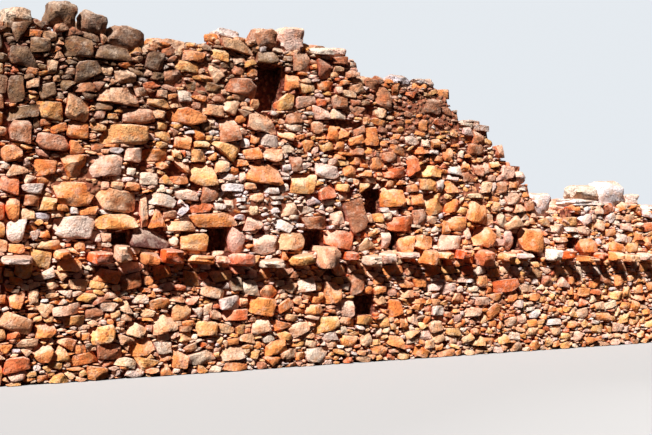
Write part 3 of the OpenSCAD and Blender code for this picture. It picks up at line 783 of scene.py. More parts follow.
def read_template(bm):
    """Keeps the places of a bmesh's vertices and the corners of its faces, and frees it."""
    bmesh.ops.recalc_face_normals(bm, faces=bm.faces)
    bm.verts.index_update()
    co = np.array([v.co[:] for v in bm.verts])
    corners = np.array([v.index for face in bm.faces for v in face.verts])
    counts = np.array([len(face.verts) for face in bm.faces])
    bm.free()
    return Template(co, corners, counts)


def faced_template(cells, rings):
    """A square face of cells by cells, with sides that run back in rings and a closed back."""
    bm = bmesh.new()
    bmesh.ops.create_grid(bm, x_segments=cells, y_segments=cells, size=1)
    for _ in range(rings):
        rim = [edge for edge in bm.edges if edge.is_boundary]
        grown = bmesh.ops.extrude_edge_only(bm, edges=rim)["geom"]
        back = [v for v in grown if isinstance(v, bmesh.types.BMVert)]
        bmesh.ops.translate(bm, verts=back, vec=(0, 0, -1))
    bmesh.ops.contextual_create(bm, geom=[edge for edge in bm.edges if edge.is_boundary])
    return read_template(bm)


def block_template(cuts):
    """A cube whose edges are cut into cuts + 1 lengths."""
    bm = bmesh.new()
    bmesh.ops.create_cube(bm, size=2)
    bmesh.ops.subdivide_edges(bm, edges=bm.edges, cuts=cuts, use_grid_fill=True)
    return read_template(bm)


class Pile:
    """Stones gathered for one piece, which becomes a single joined mesh.

    Its materials read each stone's colour, a shift of its pattern, how near a vertex is to the rim
    and how weathered it is, which under the ledge also stands for painted shade.
    """

    def __init__(self):
        self.co = []
        self.corners = []
        self.counts = []
        self.colour = []
        self.shift = []
        self.rim = []
        self.weather = []
        self.material = []
        self.total = 0

    def add(self, co, template, colour, shift, rim, material=0):
        """Adds stones: co is stones by vertices by 3, colour and shift are stones by 3."""
        count, verts, _ = co.shape
        starts = self.total + np.arange(count)[:, None] * verts
        self.co.append(co.reshape(-1, 3))
        self.corners.append((starts + template.corners[None, :]).ravel())
        self.counts.append(np.tile(template.counts, count))
        self.colour.append(np.repeat(colour, verts, axis=0))
        self.shift.append(np.repeat(shift, verts, axis=0))
        self.rim.append(np.broadcast_to(rim, (count, verts)).ravel())
        self.weather.append(weather_and_shade_at(co[:, :, 0].ravel(), co[:, :, 2].ravel()))
        self.material.append(np.full(count * len(template.counts), material))
        self.total += count * verts

    def build(self, name, materials, slot, *replaced):
        """Makes the piece: its mesh, what its materials read and its body."""
        mesh = bpy.data.meshes.new(name)
        co = np.concatenate(self.co)
        corners = np.concatenate(self.corners)
        counts = np.concatenate(self.counts)
        mesh.vertices.add(len(co))
        mesh.vertices.foreach_set("co", co.ravel())
        mesh.loops.add(len(corners))
        mesh.loops.foreach_set("vertex_index", corners)
        mesh.polygons.add(len(counts))
        mesh.polygons.foreach_set("loop_start", np.concatenate([[0], np.cumsum(counts)[:-1]]))
        mesh.polygons.foreach_set("material_index", np.concatenate(self.material))
        mesh.update(calc_edges=True)
        mesh.validate()
        colour = np.concatenate([np.concatenate(self.colour), np.ones((len(co), 1))], axis=1)
        for attribute, kind, field, values in (
                ("stone_colour", "FLOAT_COLOR", "color", colour),
                ("stone_shift", "FLOAT_VECTOR", "vector", np.concatenate(self.shift)),
                ("rim", "FLOAT", "value", np.concatenate(self.rim)),
                ("weather", "FLOAT", "value", np.concatenate(self.weather))):
            mesh.attributes.new(attribute, kind, "POINT").data.foreach_set(field, values.ravel())
        mesh.shade_smooth()
        mesh.set_sharp_from_angle(angle=math.radians(SHARP_ANGLE))
        for material in materials:
            mesh.materials.append(material)
        piece = bpy.data.objects.new(name, mesh)
        bpy.context.scene.collection.objects.link(piece)
        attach(piece, "root")
        if replaced:
            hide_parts(*replaced)
        return piece


def turn_about_z(co, degrees):
    """Turns points about the middle of the wall."""
    angle = math.radians(degrees)
    x = co[..., 0] * math.cos(angle) - co[..., 1] * math.sin(angle)
    y = co[..., 0] * math.sin(angle) + co[..., 1] * math.cos(angle)
    return np.stack([x, y, co[..., 2]], axis=-1)


def waves(random, points, count, amplitude, longest):
    """Smooth unevenness, as a sum of waves, for count stones of points by 2 or 3 coordinates."""
    total = np.zeros(points.shape[:2])
    for octave in range(4):
        wave = random.normal(0, 1, (count, 1, points.shape[2]))
        wave = wave / np.linalg.norm(wave, axis=2, keepdims=True) * 2 * math.pi * 1.7 ** octave
        phase = random.uniform(0, 2 * math.pi, (count, 1))
        height = amplitude / 1.45 ** octave
        total += height[:, None] * np.sin((points / longest[:, None, None] * wave).sum(axis=2) + phase)
    return total


def turned_to_corners(reach, angle):
    """Turns each template point, so that the template's corners lie on the stone's own corners."""
    step = 2 * math.pi / DIRECTIONS
    corners = []
    for quarter in range(4):
        middle = round((quarter + 0.5) * DIRECTIONS / 4)
        nearby = np.arange(middle - CORNER_SEARCH, middle + CORNER_SEARCH + 1)
        corners.append((nearby[0] + np.argmax(reach[:, nearby % DIRECTIONS], axis=1)) * step)
    corners = np.stack([corners[3] - 2 * math.pi, *corners, corners[0] + 2 * math.pi], axis=1)
    fixed = (np.arange(6) - 0.5) * math.pi / 2
    around = angle % (2 * math.pi)
    span = np.clip(((around - fixed[0]) / (math.pi / 2)).astype(int), 0, 4)
    share = (around - fixed[span]) / (math.pi / 2)
    return corners[:, span] * (1 - share) + corners[:, span + 1] * share


def raise_faces(face, chosen, middles, reach, sizes, template, distance_of, degrees):
    """Shapes the chosen stones of a face and returns their vertices and how near each is to the rim."""
    random = face.random
    stones = [face.stones[i] for i in chosen]
    kind = KINDS[stones[0].kind]
    count = len(stones)
    half_w = np.array([stone.half_w for stone in stones])[:, None]
    half_h = np.array([stone.half_h for stone in stones])[:, None]
    tilt = np.array([stone.tilt for stone in stones])[:, None]

    # Where each vertex lies in the plan: the cells are narrower near the rim, and the sides taper
    u, v, level = template.co.T
    square = np.maximum(np.abs(u), np.abs(v))
    angle = turned_to_corners(reach, np.arctan2(v, u))
    on_side = level < -0.5
    back = np.clip(level / level.min(), 0, 1)
    spread = 1 - (1 - square) ** 1.5
    taper = np.where(on_side, 1 - BACK_TAPER * back ** 2, 1.0)
    turns = (angle / (2 * math.pi) * DIRECTIONS) % DIRECTIONS
    before = turns.astype(int) % DIRECTIONS
    share = turns - turns.astype(int)
    row = np.arange(count)[:, None]
    out = reach[row, before] * (1 - share) + reach[row, (before + 1) % DIRECTIONS] * share
    along = out * spread * taper * np.cos(angle) * half_w
    up = out * spread * taper * np.sin(angle) * half_h
    ds = along * np.cos(tilt) - up * np.sin(tilt)
    dz = along * np.sin(tilt) + up * np.cos(tilt)

    # How deep it lies: a swollen face that leans, with facets broken off it, and sides that run back
    size = np.sqrt(half_w * half_h)
    bulge = np.clip(size * sizes.bulge * random.uniform(0.6, 1.3, (count, 1)), *BULGES)
    power = random.uniform(6.0, 26.0, (count, 1))
    under = LEDGE_LOW - middles[1][chosen][:, None]
    further = SET_BACK + DEEPER * near_deepest(middles[0][chosen][:, None])
    sunk = random.uniform(*kind.sunk, (count, 1)) + np.where((under > 0) & (under < SHADED), further, 0)
    lean_s = random.normal(0, sizes.lean, (count, 1))
    lean_z = random.normal(0.03, sizes.lean, (count, 1))
    plane = sunk + lean_s * ds + lean_z * dz
    depth = plane - bulge * (1 - spread ** power)
    for way, swing, first, last, steepest in FACETS:
        way = random.normal(math.radians(way), math.radians(swing), (count, 1))
        start = random.uniform(first, last, (count, 1)) * size
        slope = random.uniform(0.3, 1.0, (count, 1)) * steepest
        chip = plane - bulge + slope * (ds * np.cos(way) + dz * np.sin(way) - start)
        depth = np.maximum(depth, chip)
    points = np.stack([ds, dz], axis=-1)
    depth += waves(random, points, count, (size * sizes.rough)[:, 0], (size * 2.2)[:, 0])
    depth = np.where(on_side, np.maximum(depth, plane) + kind.depth * back ** 1.5, depth)
    depth = np.maximum(depth, -FURTHEST_OUT)

    # The rim value is nothing on the face, a little at its edge, and grows to 1 along the sides
    s = middles[0][chosen][:, None] + ds
    z = np.clip(middles[1][chosen][:, None] + dz, 0.0, None)
    co = np.stack([s, -distance_of(z) + depth, z], axis=-1)
    rim = np.where(on_side, 0.35 + 0.65 * back, np.clip((spread - 0.85) / 0.15, 0, 1) * 0.15)
    return turn_about_z(co, degrees), rim


def pile_faces(face, piles, name_of, tones, sizes, templates, distance_of, degrees):
    """Raises every stone of a face and puts it on the pile that name_of gives for it."""
    middle_s, middle_z, reach = face.reaches()
    half_w = np.array([stone.half_w for stone in face.stones])[:, None]
    half_h = np.array([stone.half_h for stone in face.stones])[:, None]
    angles = np.arange(DIRECTIONS) * 2 * math.pi / DIRECTIONS
    length = np.hypot(half_w * np.cos(angles), half_h * np.sin(angles)) * reach
    narrowest = length.min(axis=1)
    shrunk = np.maximum(length - sizes.joint / 2, length * JOINT_LIMIT)
    reach = reach * shrunk / np.maximum(length, 1e-6)
    groups = {}
    for i, stone in enumerate(face.stones):
        if narrowest[i] > NARROWEST and stone.tone:
            groups.setdefault((name_of(middle_s[i], middle_z[i]), stone.kind), []).append(i)
    for (pile, kind), chosen in sorted(groups.items()):
        chosen = np.array(chosen)
        co, rim = raise_faces(face, chosen, (middle_s, middle_z), reach[chosen], sizes, templates[kind],
                              distance_of, degrees)
        colour = np.concatenate([varied(face.random, tones[face.stones[i].tone], 1) for i in chosen])
        shift = face.random.uniform(-20, 20, (len(chosen), 3))
        piles.setdefault(pile, Pile()).add(co, templates[kind], colour, shift, rim)


def add_blocks(pile, random, blocks, tones, template, rough, squareness=(3.4, 7.0), taper=0.0):
    """Adds rounded and chipped blocks, each (middle, half sizes, turn, nod, roll, tone).

    A taper makes them wider towards +Y and narrower towards -Y.
    """
    count = len(blocks)
    if not count:
        return
    middle = np.array([block[0] for block in blocks])[:, None, :]
    half = np.array([block[1] for block in blocks])[:, None, :]
    square = random.uniform(*squareness, (count, 1))
    raw = template.co[None, :, :]
    co = raw / ((np.abs(raw) ** square[:, :, None]).sum(axis=2) ** (1 / square))[:, :, None]
    for _ in range(CHIPS):
        normal = random.normal(0, 1, (count, 1, 3))
        normal /= np.linalg.norm(normal, axis=2, keepdims=True)
        height = (co * normal).sum(axis=2)
        limit = height.max(axis=1, keepdims=True) * random.uniform(0.78, 0.93, (count, 1))
        co = co - np.maximum(height - limit, 0)[:, :, None] * normal
    swell = waves(random, co, count, np.full(count, rough), np.full(count, 1.6))
    co = co * (1 + swell[:, :, None]) * half
    turn, nod, roll = (np.array([block[i] for block in blocks])[:, None] for i in (2, 3, 4))
    x, y, z = co[:, :, 0], co[:, :, 1], co[:, :, 2]
    x = x * (1 + taper * (1 + y / half[:, :, 1]))
    x, z = x * np.cos(roll) - z * np.sin(roll), x * np.sin(roll) + z * np.cos(roll)
    y, z = y * np.cos(nod) - z * np.sin(nod), y * np.sin(nod) + z * np.cos(nod)
    x, y = x * np.cos(turn) - y * np.sin(turn), x * np.sin(turn) + y * np.cos(turn)
    co = np.stack([x, y, z], axis=-1) + middle
    colour = np.concatenate([varied(random, tones[block[5]], 1) for block in blocks])
    shift = random.uniform(-20, 20, (count, 3))
    pile.add(co, template, colour, shift, 0.0)


def add_packing(pile, tones, node):
    """Adds the node's own solid, drawn in behind the stones, as the earth and rubble they sit in."""
    bm = bmesh.new()
    bm.from_mesh(NODES[node].data)
    bmesh.ops.remove_doubles(bm, verts=bm.verts, dist=SAME_PLACE)
    tops = [face for face in bm.faces
            if face.normal.z > 0.9 and face.calc_center_median().z > LEDGE_TOP + LEAST_STEP]
    lowered = {v for face in tops for v in face.verts}
    niche = next(opening["box_m"][1] for opening in RECORD_OPENINGS if opening["name"] == "tall_niche")
    for v in bm.verts:
        if math.hypot(v.co.x - niche[0] - BOX_INSIDE, v.co.z - niche[2] - BOX_INSIDE) < 2 * ON_FACE:
            v.co.x += NICHE_LEAN
        if abs(v.co.y + half_thickness(v.co.z)) < ON_FACE:
            v.co.y += PACK_IN
        elif abs(v.co.y - half_thickness(v.co.z)) < ON_FACE:
            v.co.y -= PACK_IN
        if abs(v.co.x) > HALF_LEN - ON_FACE:
            v.co.x -= math.copysign(PACK_IN, v.co.x)
        if v in lowered:
            v.co.z -= PACK_DOWN
    template = read_template(bm)
    colour = np.array([tones["earth"]])
    pile.add(template.co[None, :, :], template, colour, np.zeros((1, 3)), 1.0, material=1)


def add_earth(pile, bay, top):
    """Adds the sheets of earth that fill the joints of the front in this bay, each a closed sheet."""
    template = faced_template(EARTH_CELLS, 1)
    u, v, level = template.co.T
    for *field, behind in EARTH_FIELDS:
        middle, height, along, up = field
        low = max(-HALF_LEN + bay * BAY_LEN, middle - EARTH_REACH * along)
        high = min(-HALF_LEN + (bay + 1) * BAY_LEN, middle + EARTH_REACH * along)
        if high - low < EARTH_SHORTEST:
            continue
        s = low + (high - low) * (u + 1) / 2
        bottom = height - EARTH_REACH * up
        upper = np.minimum(height + EARTH_REACH * up, top(s) - EARTH_UNDER_TOP)
        z = bottom + (upper - bottom) * (v + 1) / 2
        points = np.stack([s, z], axis=-1)[None]
        rise, length = (np.array([value]) for value in EARTH_LUMPS)
        lumps = waves(np.random.default_rng(97), points, 1, rise, length)[0]
        sunk = behind + lumps + EARTH_DEPTH * (1 - near(s, z, field, 4))
        y = -half_thickness(z) + np.where(level < -0.5, EARTH_BACK, sunk)
        co = np.stack([s, y, z], axis=-1)[None]
        pile.add(co, template, np.ones((1, 3)), np.zeros((1, 3)), 0.0, material=2)


# Materials


class Finish:
    """Builds one material from short calls, most of which return a node's output."""

    def __init__(self, name):
        self.material = bpy.data.materials.new(name)
        self.material.use_nodes = True
        self.tree = self.material.node_tree
        self.shader = self.tree.nodes["Principled BSDF"]

    def put(self, socket, value):
        """Links a node's output to a socket, or sets the socket to a value."""
        if isinstance(value, bpy.types.NodeSocket):
            self.tree.links.new(value, socket)
        else:
            socket.default_value = value

    def attribute(self, name, output):
        """What the piece's mesh holds under this name."""
        node = self.tree.nodes.new("ShaderNodeAttribute")
        node.attribute_name = name
        return node.outputs[output]

    def place(self):
        """The place in the object's own frame."""
        return self.tree.nodes.new("ShaderNodeTexCoord").outputs["Object"]

    def upward(self):
        """How far the surface looks up, from -1 to 1."""
        normal = self.tree.nodes.new("ShaderNodeNewGeometry").outputs["Normal"]
        parts = self.tree.nodes.new("ShaderNodeSeparateXYZ")
        self.put(parts.inputs[0], normal)
        return parts.outputs["Z"]

    def vector(self, operation, first, second):
        """A vector made of two others."""
        node = self.tree.nodes.new("ShaderNodeVectorMath")
        node.operation = operation
        self.put(node.inputs[0], first)
        self.put(node.inputs[1], second)
        return node.outputs[0]

    def times(self, first, second):
        """The product of two numbers."""
        node = self.tree.nodes.new("ShaderNodeMath")
        node.operation = "MULTIPLY"
        self.put(node.inputs[0], first)
        self.put(node.inputs[1], second)
        return node.outputs[0]

    def noise(self, place, scale, detail=3.0, roughness=0.55):
        """Cloudy noise, mostly between 0.3 and 0.7."""
        node = self.tree.nodes.new("ShaderNodeTexNoise")
        self.put(node.inputs["Vector"], place)
        node.inputs["Scale"].default_value = scale
        node.inputs["Detail"].default_value = detail
        node.inputs["Roughness"].default_value = roughness
        return node.outputs["Fac"]

    def cells(self, place, scale):
        """A node with the distance to the nearest of many scattered points, and its place."""
        node = self.tree.nodes.new("ShaderNodeTexVoronoi")
        self.put(node.inputs["Vector"], place)
        node.inputs["Scale"].default_value = scale
        return node

    def ramp(self, value, low, high, to_low=0.0, to_high=1.0):
        """The value stretched from one range to another, and kept inside it."""
        node = self.tree.nodes.new("ShaderNodeMapRange")
        for socket, number in zip(node.inputs[:5], (value, low, high, to_low, to_high)):
            self.put(socket, number)
        return node.outputs[0]

    def mix(self, share, first, second, blend="MIX"):
        """The first colour with a share of the second over it."""
        node = self.tree.nodes.new("ShaderNodeMix")
        node.data_type = "RGBA"
        node.blend_type = blend
        for index, value in ((0, share), (6, first), (7, second)):
            self.put(node.inputs[index], (*value, 1) if isinstance(value, tuple) else value)
        return node.outputs[2]

    def tint(self, colour, share, tone):
        """The colour with a share of it multiplied by a tone."""
        return self.mix(share, colour, self.mix(1.0, colour, linear(*tone), "MULTIPLY"))

    def shade(self, colour, factor):
        """The colour times a grey of this factor."""
        node = self.tree.nodes.new("ShaderNodeVectorMath")
        node.operation = "SCALE"
        self.put(node.inputs[0], colour)
        self.put(node.inputs["Scale"], factor)
        return node.outputs[0]

    def bump(self, height, strength, distance, before=None):
        """The surface's direction once this height is laid over it."""
        node = self.tree.nodes.new("ShaderNodeBump")
        node.inputs["Strength"].default_value = strength
        node.inputs["Distance"].default_value = distance
        self.put(node.inputs["Height"], height)
        if before is not None:
            self.put(node.inputs["Normal"], before)
        return node.outputs[0]

    def finish(self, colour, roughness, normal):
        """Puts the material together."""
        self.put(self.shader.inputs["Base Color"], colour)
        self.put(self.shader.inputs["Roughness"], roughness)
        self.put(self.shader.inputs["Normal"], normal)
        self.shader.inputs["Specular IOR Level"].default_value = 0.25
        return self.material


def sandstone(name, lichen):
    """Weathered sandstone: mottled, bedded and stained, with lichen and with dirt in the joints, a
    painted highlight on slopes that look up, and painted shade under the ledge and in the joints.
    """
    look = Finish(name)
    here = look.place()
    own = look.vector("ADD", here, look.attribute("stone_shift", "Vector"))
    upward = look.upward()
    weather = look.attribute("weather", "Fac")

    # The stone itself: mottles, stains, pale patches and beds
    mottle = look.noise(own, 8.0, 4.0, 0.62)
    colour = look.attribute("stone_colour", "Color")
    colour = look.shade(colour, look.ramp(mottle, 0.32, 0.68, 0.84, 1.19))
    stain = look.ramp(look.noise(own, 5.0, 4.0, 0.62), 0.50, 0.60, 0.0, 0.7)
    colour = look.tint(colour, stain, (0.97, 0.80, 0.66))
    moved = look.vector("ADD", own, (7.0, 3.0, 1.0))
    pale = look.ramp(look.noise(moved, 6.0, 5.0, 0.68), 0.50, 0.60)
    colour = look.mix(pale, colour, linear(0.58, 0.52, 0.47), "SCREEN")
    beds = look.noise(look.vector("MULTIPLY", own, (2.5, 2.5, 30.0)), 1.0, 3.0, 0.5)
    colour = look.shade(colour, look.ramp(beds, 0.3, 0.7, 0.93, 1.06))

    # Its surface: speckles, pits and grain
    speckle = look.noise(own, 36.0, 4.0, 0.66)
    colour = look.shade(colour, look.ramp(speckle, 0.34, 0.66, 0.84, 1.17))
    moved = look.vector("ADD", own, (2.0, 9.0, 4.0))
    pits = look.ramp(look.noise(moved, 24.0, 4.0, 0.7), 0.59, 0.67, 0.0, 0.75)
    colour = look.tint(colour, pits, (0.70, 0.42, 0.38))
    grain = look.noise(own, 95.0, 3.0, 0.6)
    colour = look.shade(colour, look.ramp(grain, 0.3, 0.7, 0.92, 1.08))

    # What the weather did, and painted light: bleached slopes with a painted highlight where they look
    # up, dust on level tops, painted shade under the ledge, lichen, dirt and painted shade in the joints
    # Slopes that look up turn cream: partly sun-bleaching, partly a painted highlight of the lamp from
    # above
    bleached_and_highlight = look.times(look.ramp(upward, 0.25, 0.80), look.ramp(speckle, 0.35, 0.60, 0.25, 0.8))
    colour = look.mix(bleached_and_highlight, colour, linear(0.97, 0.86, 0.76))
    colour = look.tint(colour, look.ramp(upward, 0.75, 0.95, 0.0, 0.75), (0.74, 0.64, 0.58))
    # Darker where weathered; under the ledge this darkening is painted shade of the ledge's shadow
    colour = look.shade(colour, look.ramp(weather, 0.3, 1.0, 1.0, 0.74))
    growth = look.ramp(look.noise(here, 20.0, 5.0, 0.7), 0.46, 0.62)
    colour = look.mix(look.times(growth, look.times(weather, lichen)), colour, linear(0.38, 0.28, 0.23))
    # The stones' sides in the joints turn darker and redder, most where they look down: partly dirt,
    # partly painted shade
    joint_dirt_and_shade = look.times(look.attribute("rim", "Fac"), look.ramp(upward, 0.3, 0.8, 0.9, 0.25))
    colour = look.tint(colour, joint_dirt_and_shade, (0.98, 0.50, 0.44))

    normal = look.bump(mottle, 0.7, 0.040)
    normal = look.bump(speckle, 1.0, 0.024, normal)
    normal = look.bump(grain, 0.4, 0.003, normal)
    return look.finish(colour, look.ramp(grain, 0.3, 0.7, 0.82, 0.97), normal)


def packing(name, joint_tone=(0.42, 0.21, 0.16), dark=(0.55, 0.31, 0.22), light=(0.78, 0.52, 0.38)):
    """Earth with small rubble in it: cells of stone with dark joints."""
    look = Finish(name)
    here = look.place()
    bent = look.vector("ADD", here, look.shade(look.noise(here, 9.0, 2.0), 0.05))
    stones = look.cells(bent, 14.0)
    joint = look.ramp(stones.outputs["Distance"], 0.62, 0.25)
    tone = look.mix(look.noise(stones.outputs["Position"], 3.0, 1.0), linear(*dark), linear(*light))
    grain = look.noise(here, 45.0, 5.0, 0.7)
    tone = look.shade(tone, look.ramp(grain, 0.3, 0.7, 0.5, 1.2))
    # Darker where weathered; under the ledge this darkening is painted shade of the ledge's shadow
    tone = look.shade(tone, look.ramp(look.attribute("weather", "Fac"), 0.3, 1.0, 1.0, 0.70))
    colour = look.mix(joint, linear(*joint_tone), tone)
    normal = look.bump(joint, 0.8, 0.04)
    normal = look.bump(grain, 0.6, 0.010, normal)
    return look.finish(colour, look.ramp(grain, 0.3, 0.7, 0.85, 1.0), normal)


def shared(name, make, *values):
    """A material of this name, made once."""
    return bpy.data.materials.get(name) or make(name, *values)


def stone_finishes(name="faced sandstone", lichen=0.8):
    """The finishes of a pile: that of its stones, and that of the packing behind them."""
    return [shared(name, sandstone, lichen), shared("earth and rubble", packing)]


def crumbled_earth():
    """The paler finish of the earth that fills joints nearly flush."""
    return shared("crumbled earth", packing, (0.60, 0.34, 0.24), (0.66, 0.42, 0.31), (0.90, 0.64, 0.48))


# Parts of the wall


def read_tones(context):
    """The colours of the panel, by name."""
    tones = context.scene.stone_tones
    return {name: tuple(getattr(tones, name)) for name in StoneTones.__annotations__}


def templates(detail=1.0):
    """One template for each kind of stone; a lower detail has fewer cells."""
    return {name: faced_template(round(kind.cells * detail), kind.rings) for name, kind in KINDS.items()}


def corner_stones(side, end):
    """Stones of one corner: low, high, length along the leaf, length along the end."""
    random = np.random.default_rng([len(side), len(end), 5])
    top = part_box(f"{end}_head_wall")[1].z
    stones = []
    z = 0.0
    while z < top - LEAST_CORNER:
        high = z + random.uniform(0.11, 0.27)
        if z < LEDGE_LOW < high + 0.08:
            high = LEDGE_LOW
        if high > top - LEAST_CORNER:
            high = top
        long_leaf = random.random() < 0.5
        along = random.uniform(0.22, 0.31) if long_leaf else random.uniform(0.14, 0.20)
        across = random.uniform(0.16, 0.24) if long_leaf else random.uniform(0.24, 0.36)
        stones.append((z, high, along, across))
        z = LEDGE_TOP if high == LEDGE_LOW else high
    return stones


def back_slabs():
    """Slabs of the ledge on the back, with random lengths, in the front slabs' own order of tones."""
    random = np.random.default_rng(77)
    slabs = []
    s = -HALF_LEN
    while s < HALF_LEN - 0.15:
        length = min(random.uniform(0.24, 0.50), HALF_LEN - s)
        low = LEDGE_LOW + random.uniform(-0.02, 0.05)
        tone = FRONT_SLABS[(len(slabs) * 7) % len(FRONT_SLABS)][4]
        slabs.append((s, s + length - 0.02, low, low + random.uniform(0.10, 0.16), tone))
        s += length + random.uniform(0.0, 0.05)
    return slabs


def plan_leaf(side, sizes):
    """Lays out the front or the back leaf."""
    sign = 1 if side == "front" else -1
    names = wall_nodes(side)
    face = Face(-HALF_LEN, HALF_LEN, lambda s: top_profile(names, sign * s), 11 + sign, sizes.tilt)
    if side == "front":
        for opening in RECORD_OPENINGS:
            low, high = opening["box_m"]
            face.close(low[0] - OPENING_MARGIN, high[0] + OPENING_MARGIN,
                       low[2] - OPENING_MARGIN, high[2] + OPENING_MARGIN)
    for s_low, s_high, z_low, z_high, *_ in (FRONT_SLABS if side == "front" else back_slabs()):
        face.close(s_low + SLAB_OVERLAP, s_high - SLAB_OVERLAP, z_low + SLAB_BED, z_high - SLAB_BED)
    for end in ("left", "right"):
        outer = sign * (-HALF_LEN if end == "left" else HALF_LEN)
        for z_low, z_high, along, _ in corner_stones(side, end):
            inner = outer - math.copysign(along, outer)
            face.close(min(outer, inner) - OPENING_MARGIN, max(outer, inner), z_low, z_high)
    if side == "front":
        for gap in OPEN_GAPS:
            face.close(*gap)
        face.lay_landmarks()
    for kind in SCATTERED:
        face.scatter(kind, lambda s: sign * s, 1.0 if side == "front" else BACK_TRIES)
    return face


class WALL_OT_lay_leaves(bpy.types.Operator):
    """Lays the faced stones of the front and back leaves, one joined mesh to each bay"""
    bl_idname = "wall.lay_leaves"
    bl_label = "Lay both leaves"

    def execute(self, context):
        tones = read_tones(context)
        sizes = context.scene.stone_sizes
        finishes = [*stone_finishes(), crumbled_earth()]
        for side, sign, degrees, detail in (("front", 1, 0, 1.0), ("back", -1, 180, BACK_DETAIL)):
            shapes = templates(detail)
            face = plan_leaf(side, sizes)
            piles = {}

            def name_of(s, z, side=side, sign=sign):
                return f"{side}_{'base' if z < LEDGE_MIDDLE else 'wall'}_bay_{bay_of(sign * s) + 1}"

            pile_faces(face, piles, name_of, tones, sizes, shapes, half_thickness, degrees)
            for node, pile in piles.items():
                add_packing(pile, tones, node)
                if node.startswith("front_wall"):
                    add_earth(pile, int(node[-1]) - 1, lambda s: top_profile(wall_nodes("front"), s))
                pile.build(node.replace("_bay_", "_stones_bay_"), finishes, "faced_stone", node)
        return {"FINISHED"}


def head_of(end, z):
    """The node of an end that holds this height."""
    return f"{end}_head_{'base' if z < LEDGE_MIDDLE else 'wall'}"


def plan_end(end, sign, sizes):
    """The plan of one end, seen square on and still without stones."""
    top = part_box(f"{end}_head_wall")[1].z
    face = Face(-BASE_HALF, BASE_HALF, lambda s: np.full(s.shape, top), 41 + sign, sizes.tilt)
    face.closed |= np.abs(face.s)[None, :] > half_thickness(face.z)[:, None]
    face.close(-BASE_HALF, BASE_HALF, LEDGE_LOW, LEDGE_TOP)
    return face


def corner_blocks(random, face, side, end, sign):
    """The corner stones of an end on one side, by node; the end's plan is closed where they lie."""
    side_sign = -1 if side == "front" else 1
    blocks = {f"{end}_head_base": [], f"{end}_head_wall": []}
    for z_low, z_high, along, across in corner_stones(side, end):
        edge = half_thickness((z_low + z_high) / 2)
        s_edge = side_sign * sign * edge
        s_inner = s_edge - math.copysign(across, s_edge)
        s_low, s_high = sorted((s_edge, s_inner))
        face.close(s_low - CORNER_CLEAR, s_high + CORNER_CLEAR, z_low, z_high)
        middle = (sign * (HALF_LEN - along / 2), side_sign * (edge - across / 2), (z_low + z_high) / 2)
        half = (along / 2 - CORNER_JOINT, across / 2 - CORNER_JOINT, (z_high - z_low) / 2 - CORNER_BED)
        tone = tone_at(random, sign * HALF_LEN, z_low, False)
        turn = random.normal(0, 0.03)
        blocks[head_of(end, z_low)].append((middle, half, turn, 0, random.normal(0, 0.03), tone))
    return blocks


class WALL_OT_build_ends(bpy.types.Operator):
    """Builds the two plain ends: corner stones, faced stones between them and packing behind"""
    bl_idname = "wall.build_ends"
    bl_label = "Build the ends"

    def execute(self, context):
        tones = read_tones(context)
        sizes = context.scene.stone_sizes
        shapes = templates(BACK_DETAIL)
        block = block_template(CORNER_CUTS)
        for end, sign, degrees in (("left", -1, -90), ("right", 1, 90)):
            random = np.random.default_rng(31 + sign)
            face = plan_end(end, sign, sizes)
            piles = {}
            for side in ("front", "back"):
                for node, stones in corner_blocks(random, face, side, end, sign).items():
                    pile = piles.setdefault(node, Pile())
                    add_blocks(pile, random, stones, tones, block, 0.04, (4.0, 9.0))
            ledge = []
            for y in END_SLABS:
                middle = (sign * (HALF_LEN - END_SLAB_BACK), y, LEDGE_MIDDLE)
                ledge.append((middle, END_SLAB_HALF, 0, 0, 0, "orange"))
            add_blocks(piles[f"{end}_head_base"], random, ledge, tones, block, 0.02)
            for kind in SCATTERED:
                face.scatter(kind, lambda s, sign=sign: sign * HALF_LEN, END_TRIES)
            pile_faces(face, piles, lambda s, z, end=end: head_of(end, z), tones, sizes, shapes,
                       lambda z: np.full(z.shape, HALF_LEN), degrees)
            for node, pile in piles.items():
                add_packing(pile, tones, node)
                pile.build(node.replace("_head_", "_end_"), stone_finishes(), "faced_stone", node)
        return {"FINISHED"}


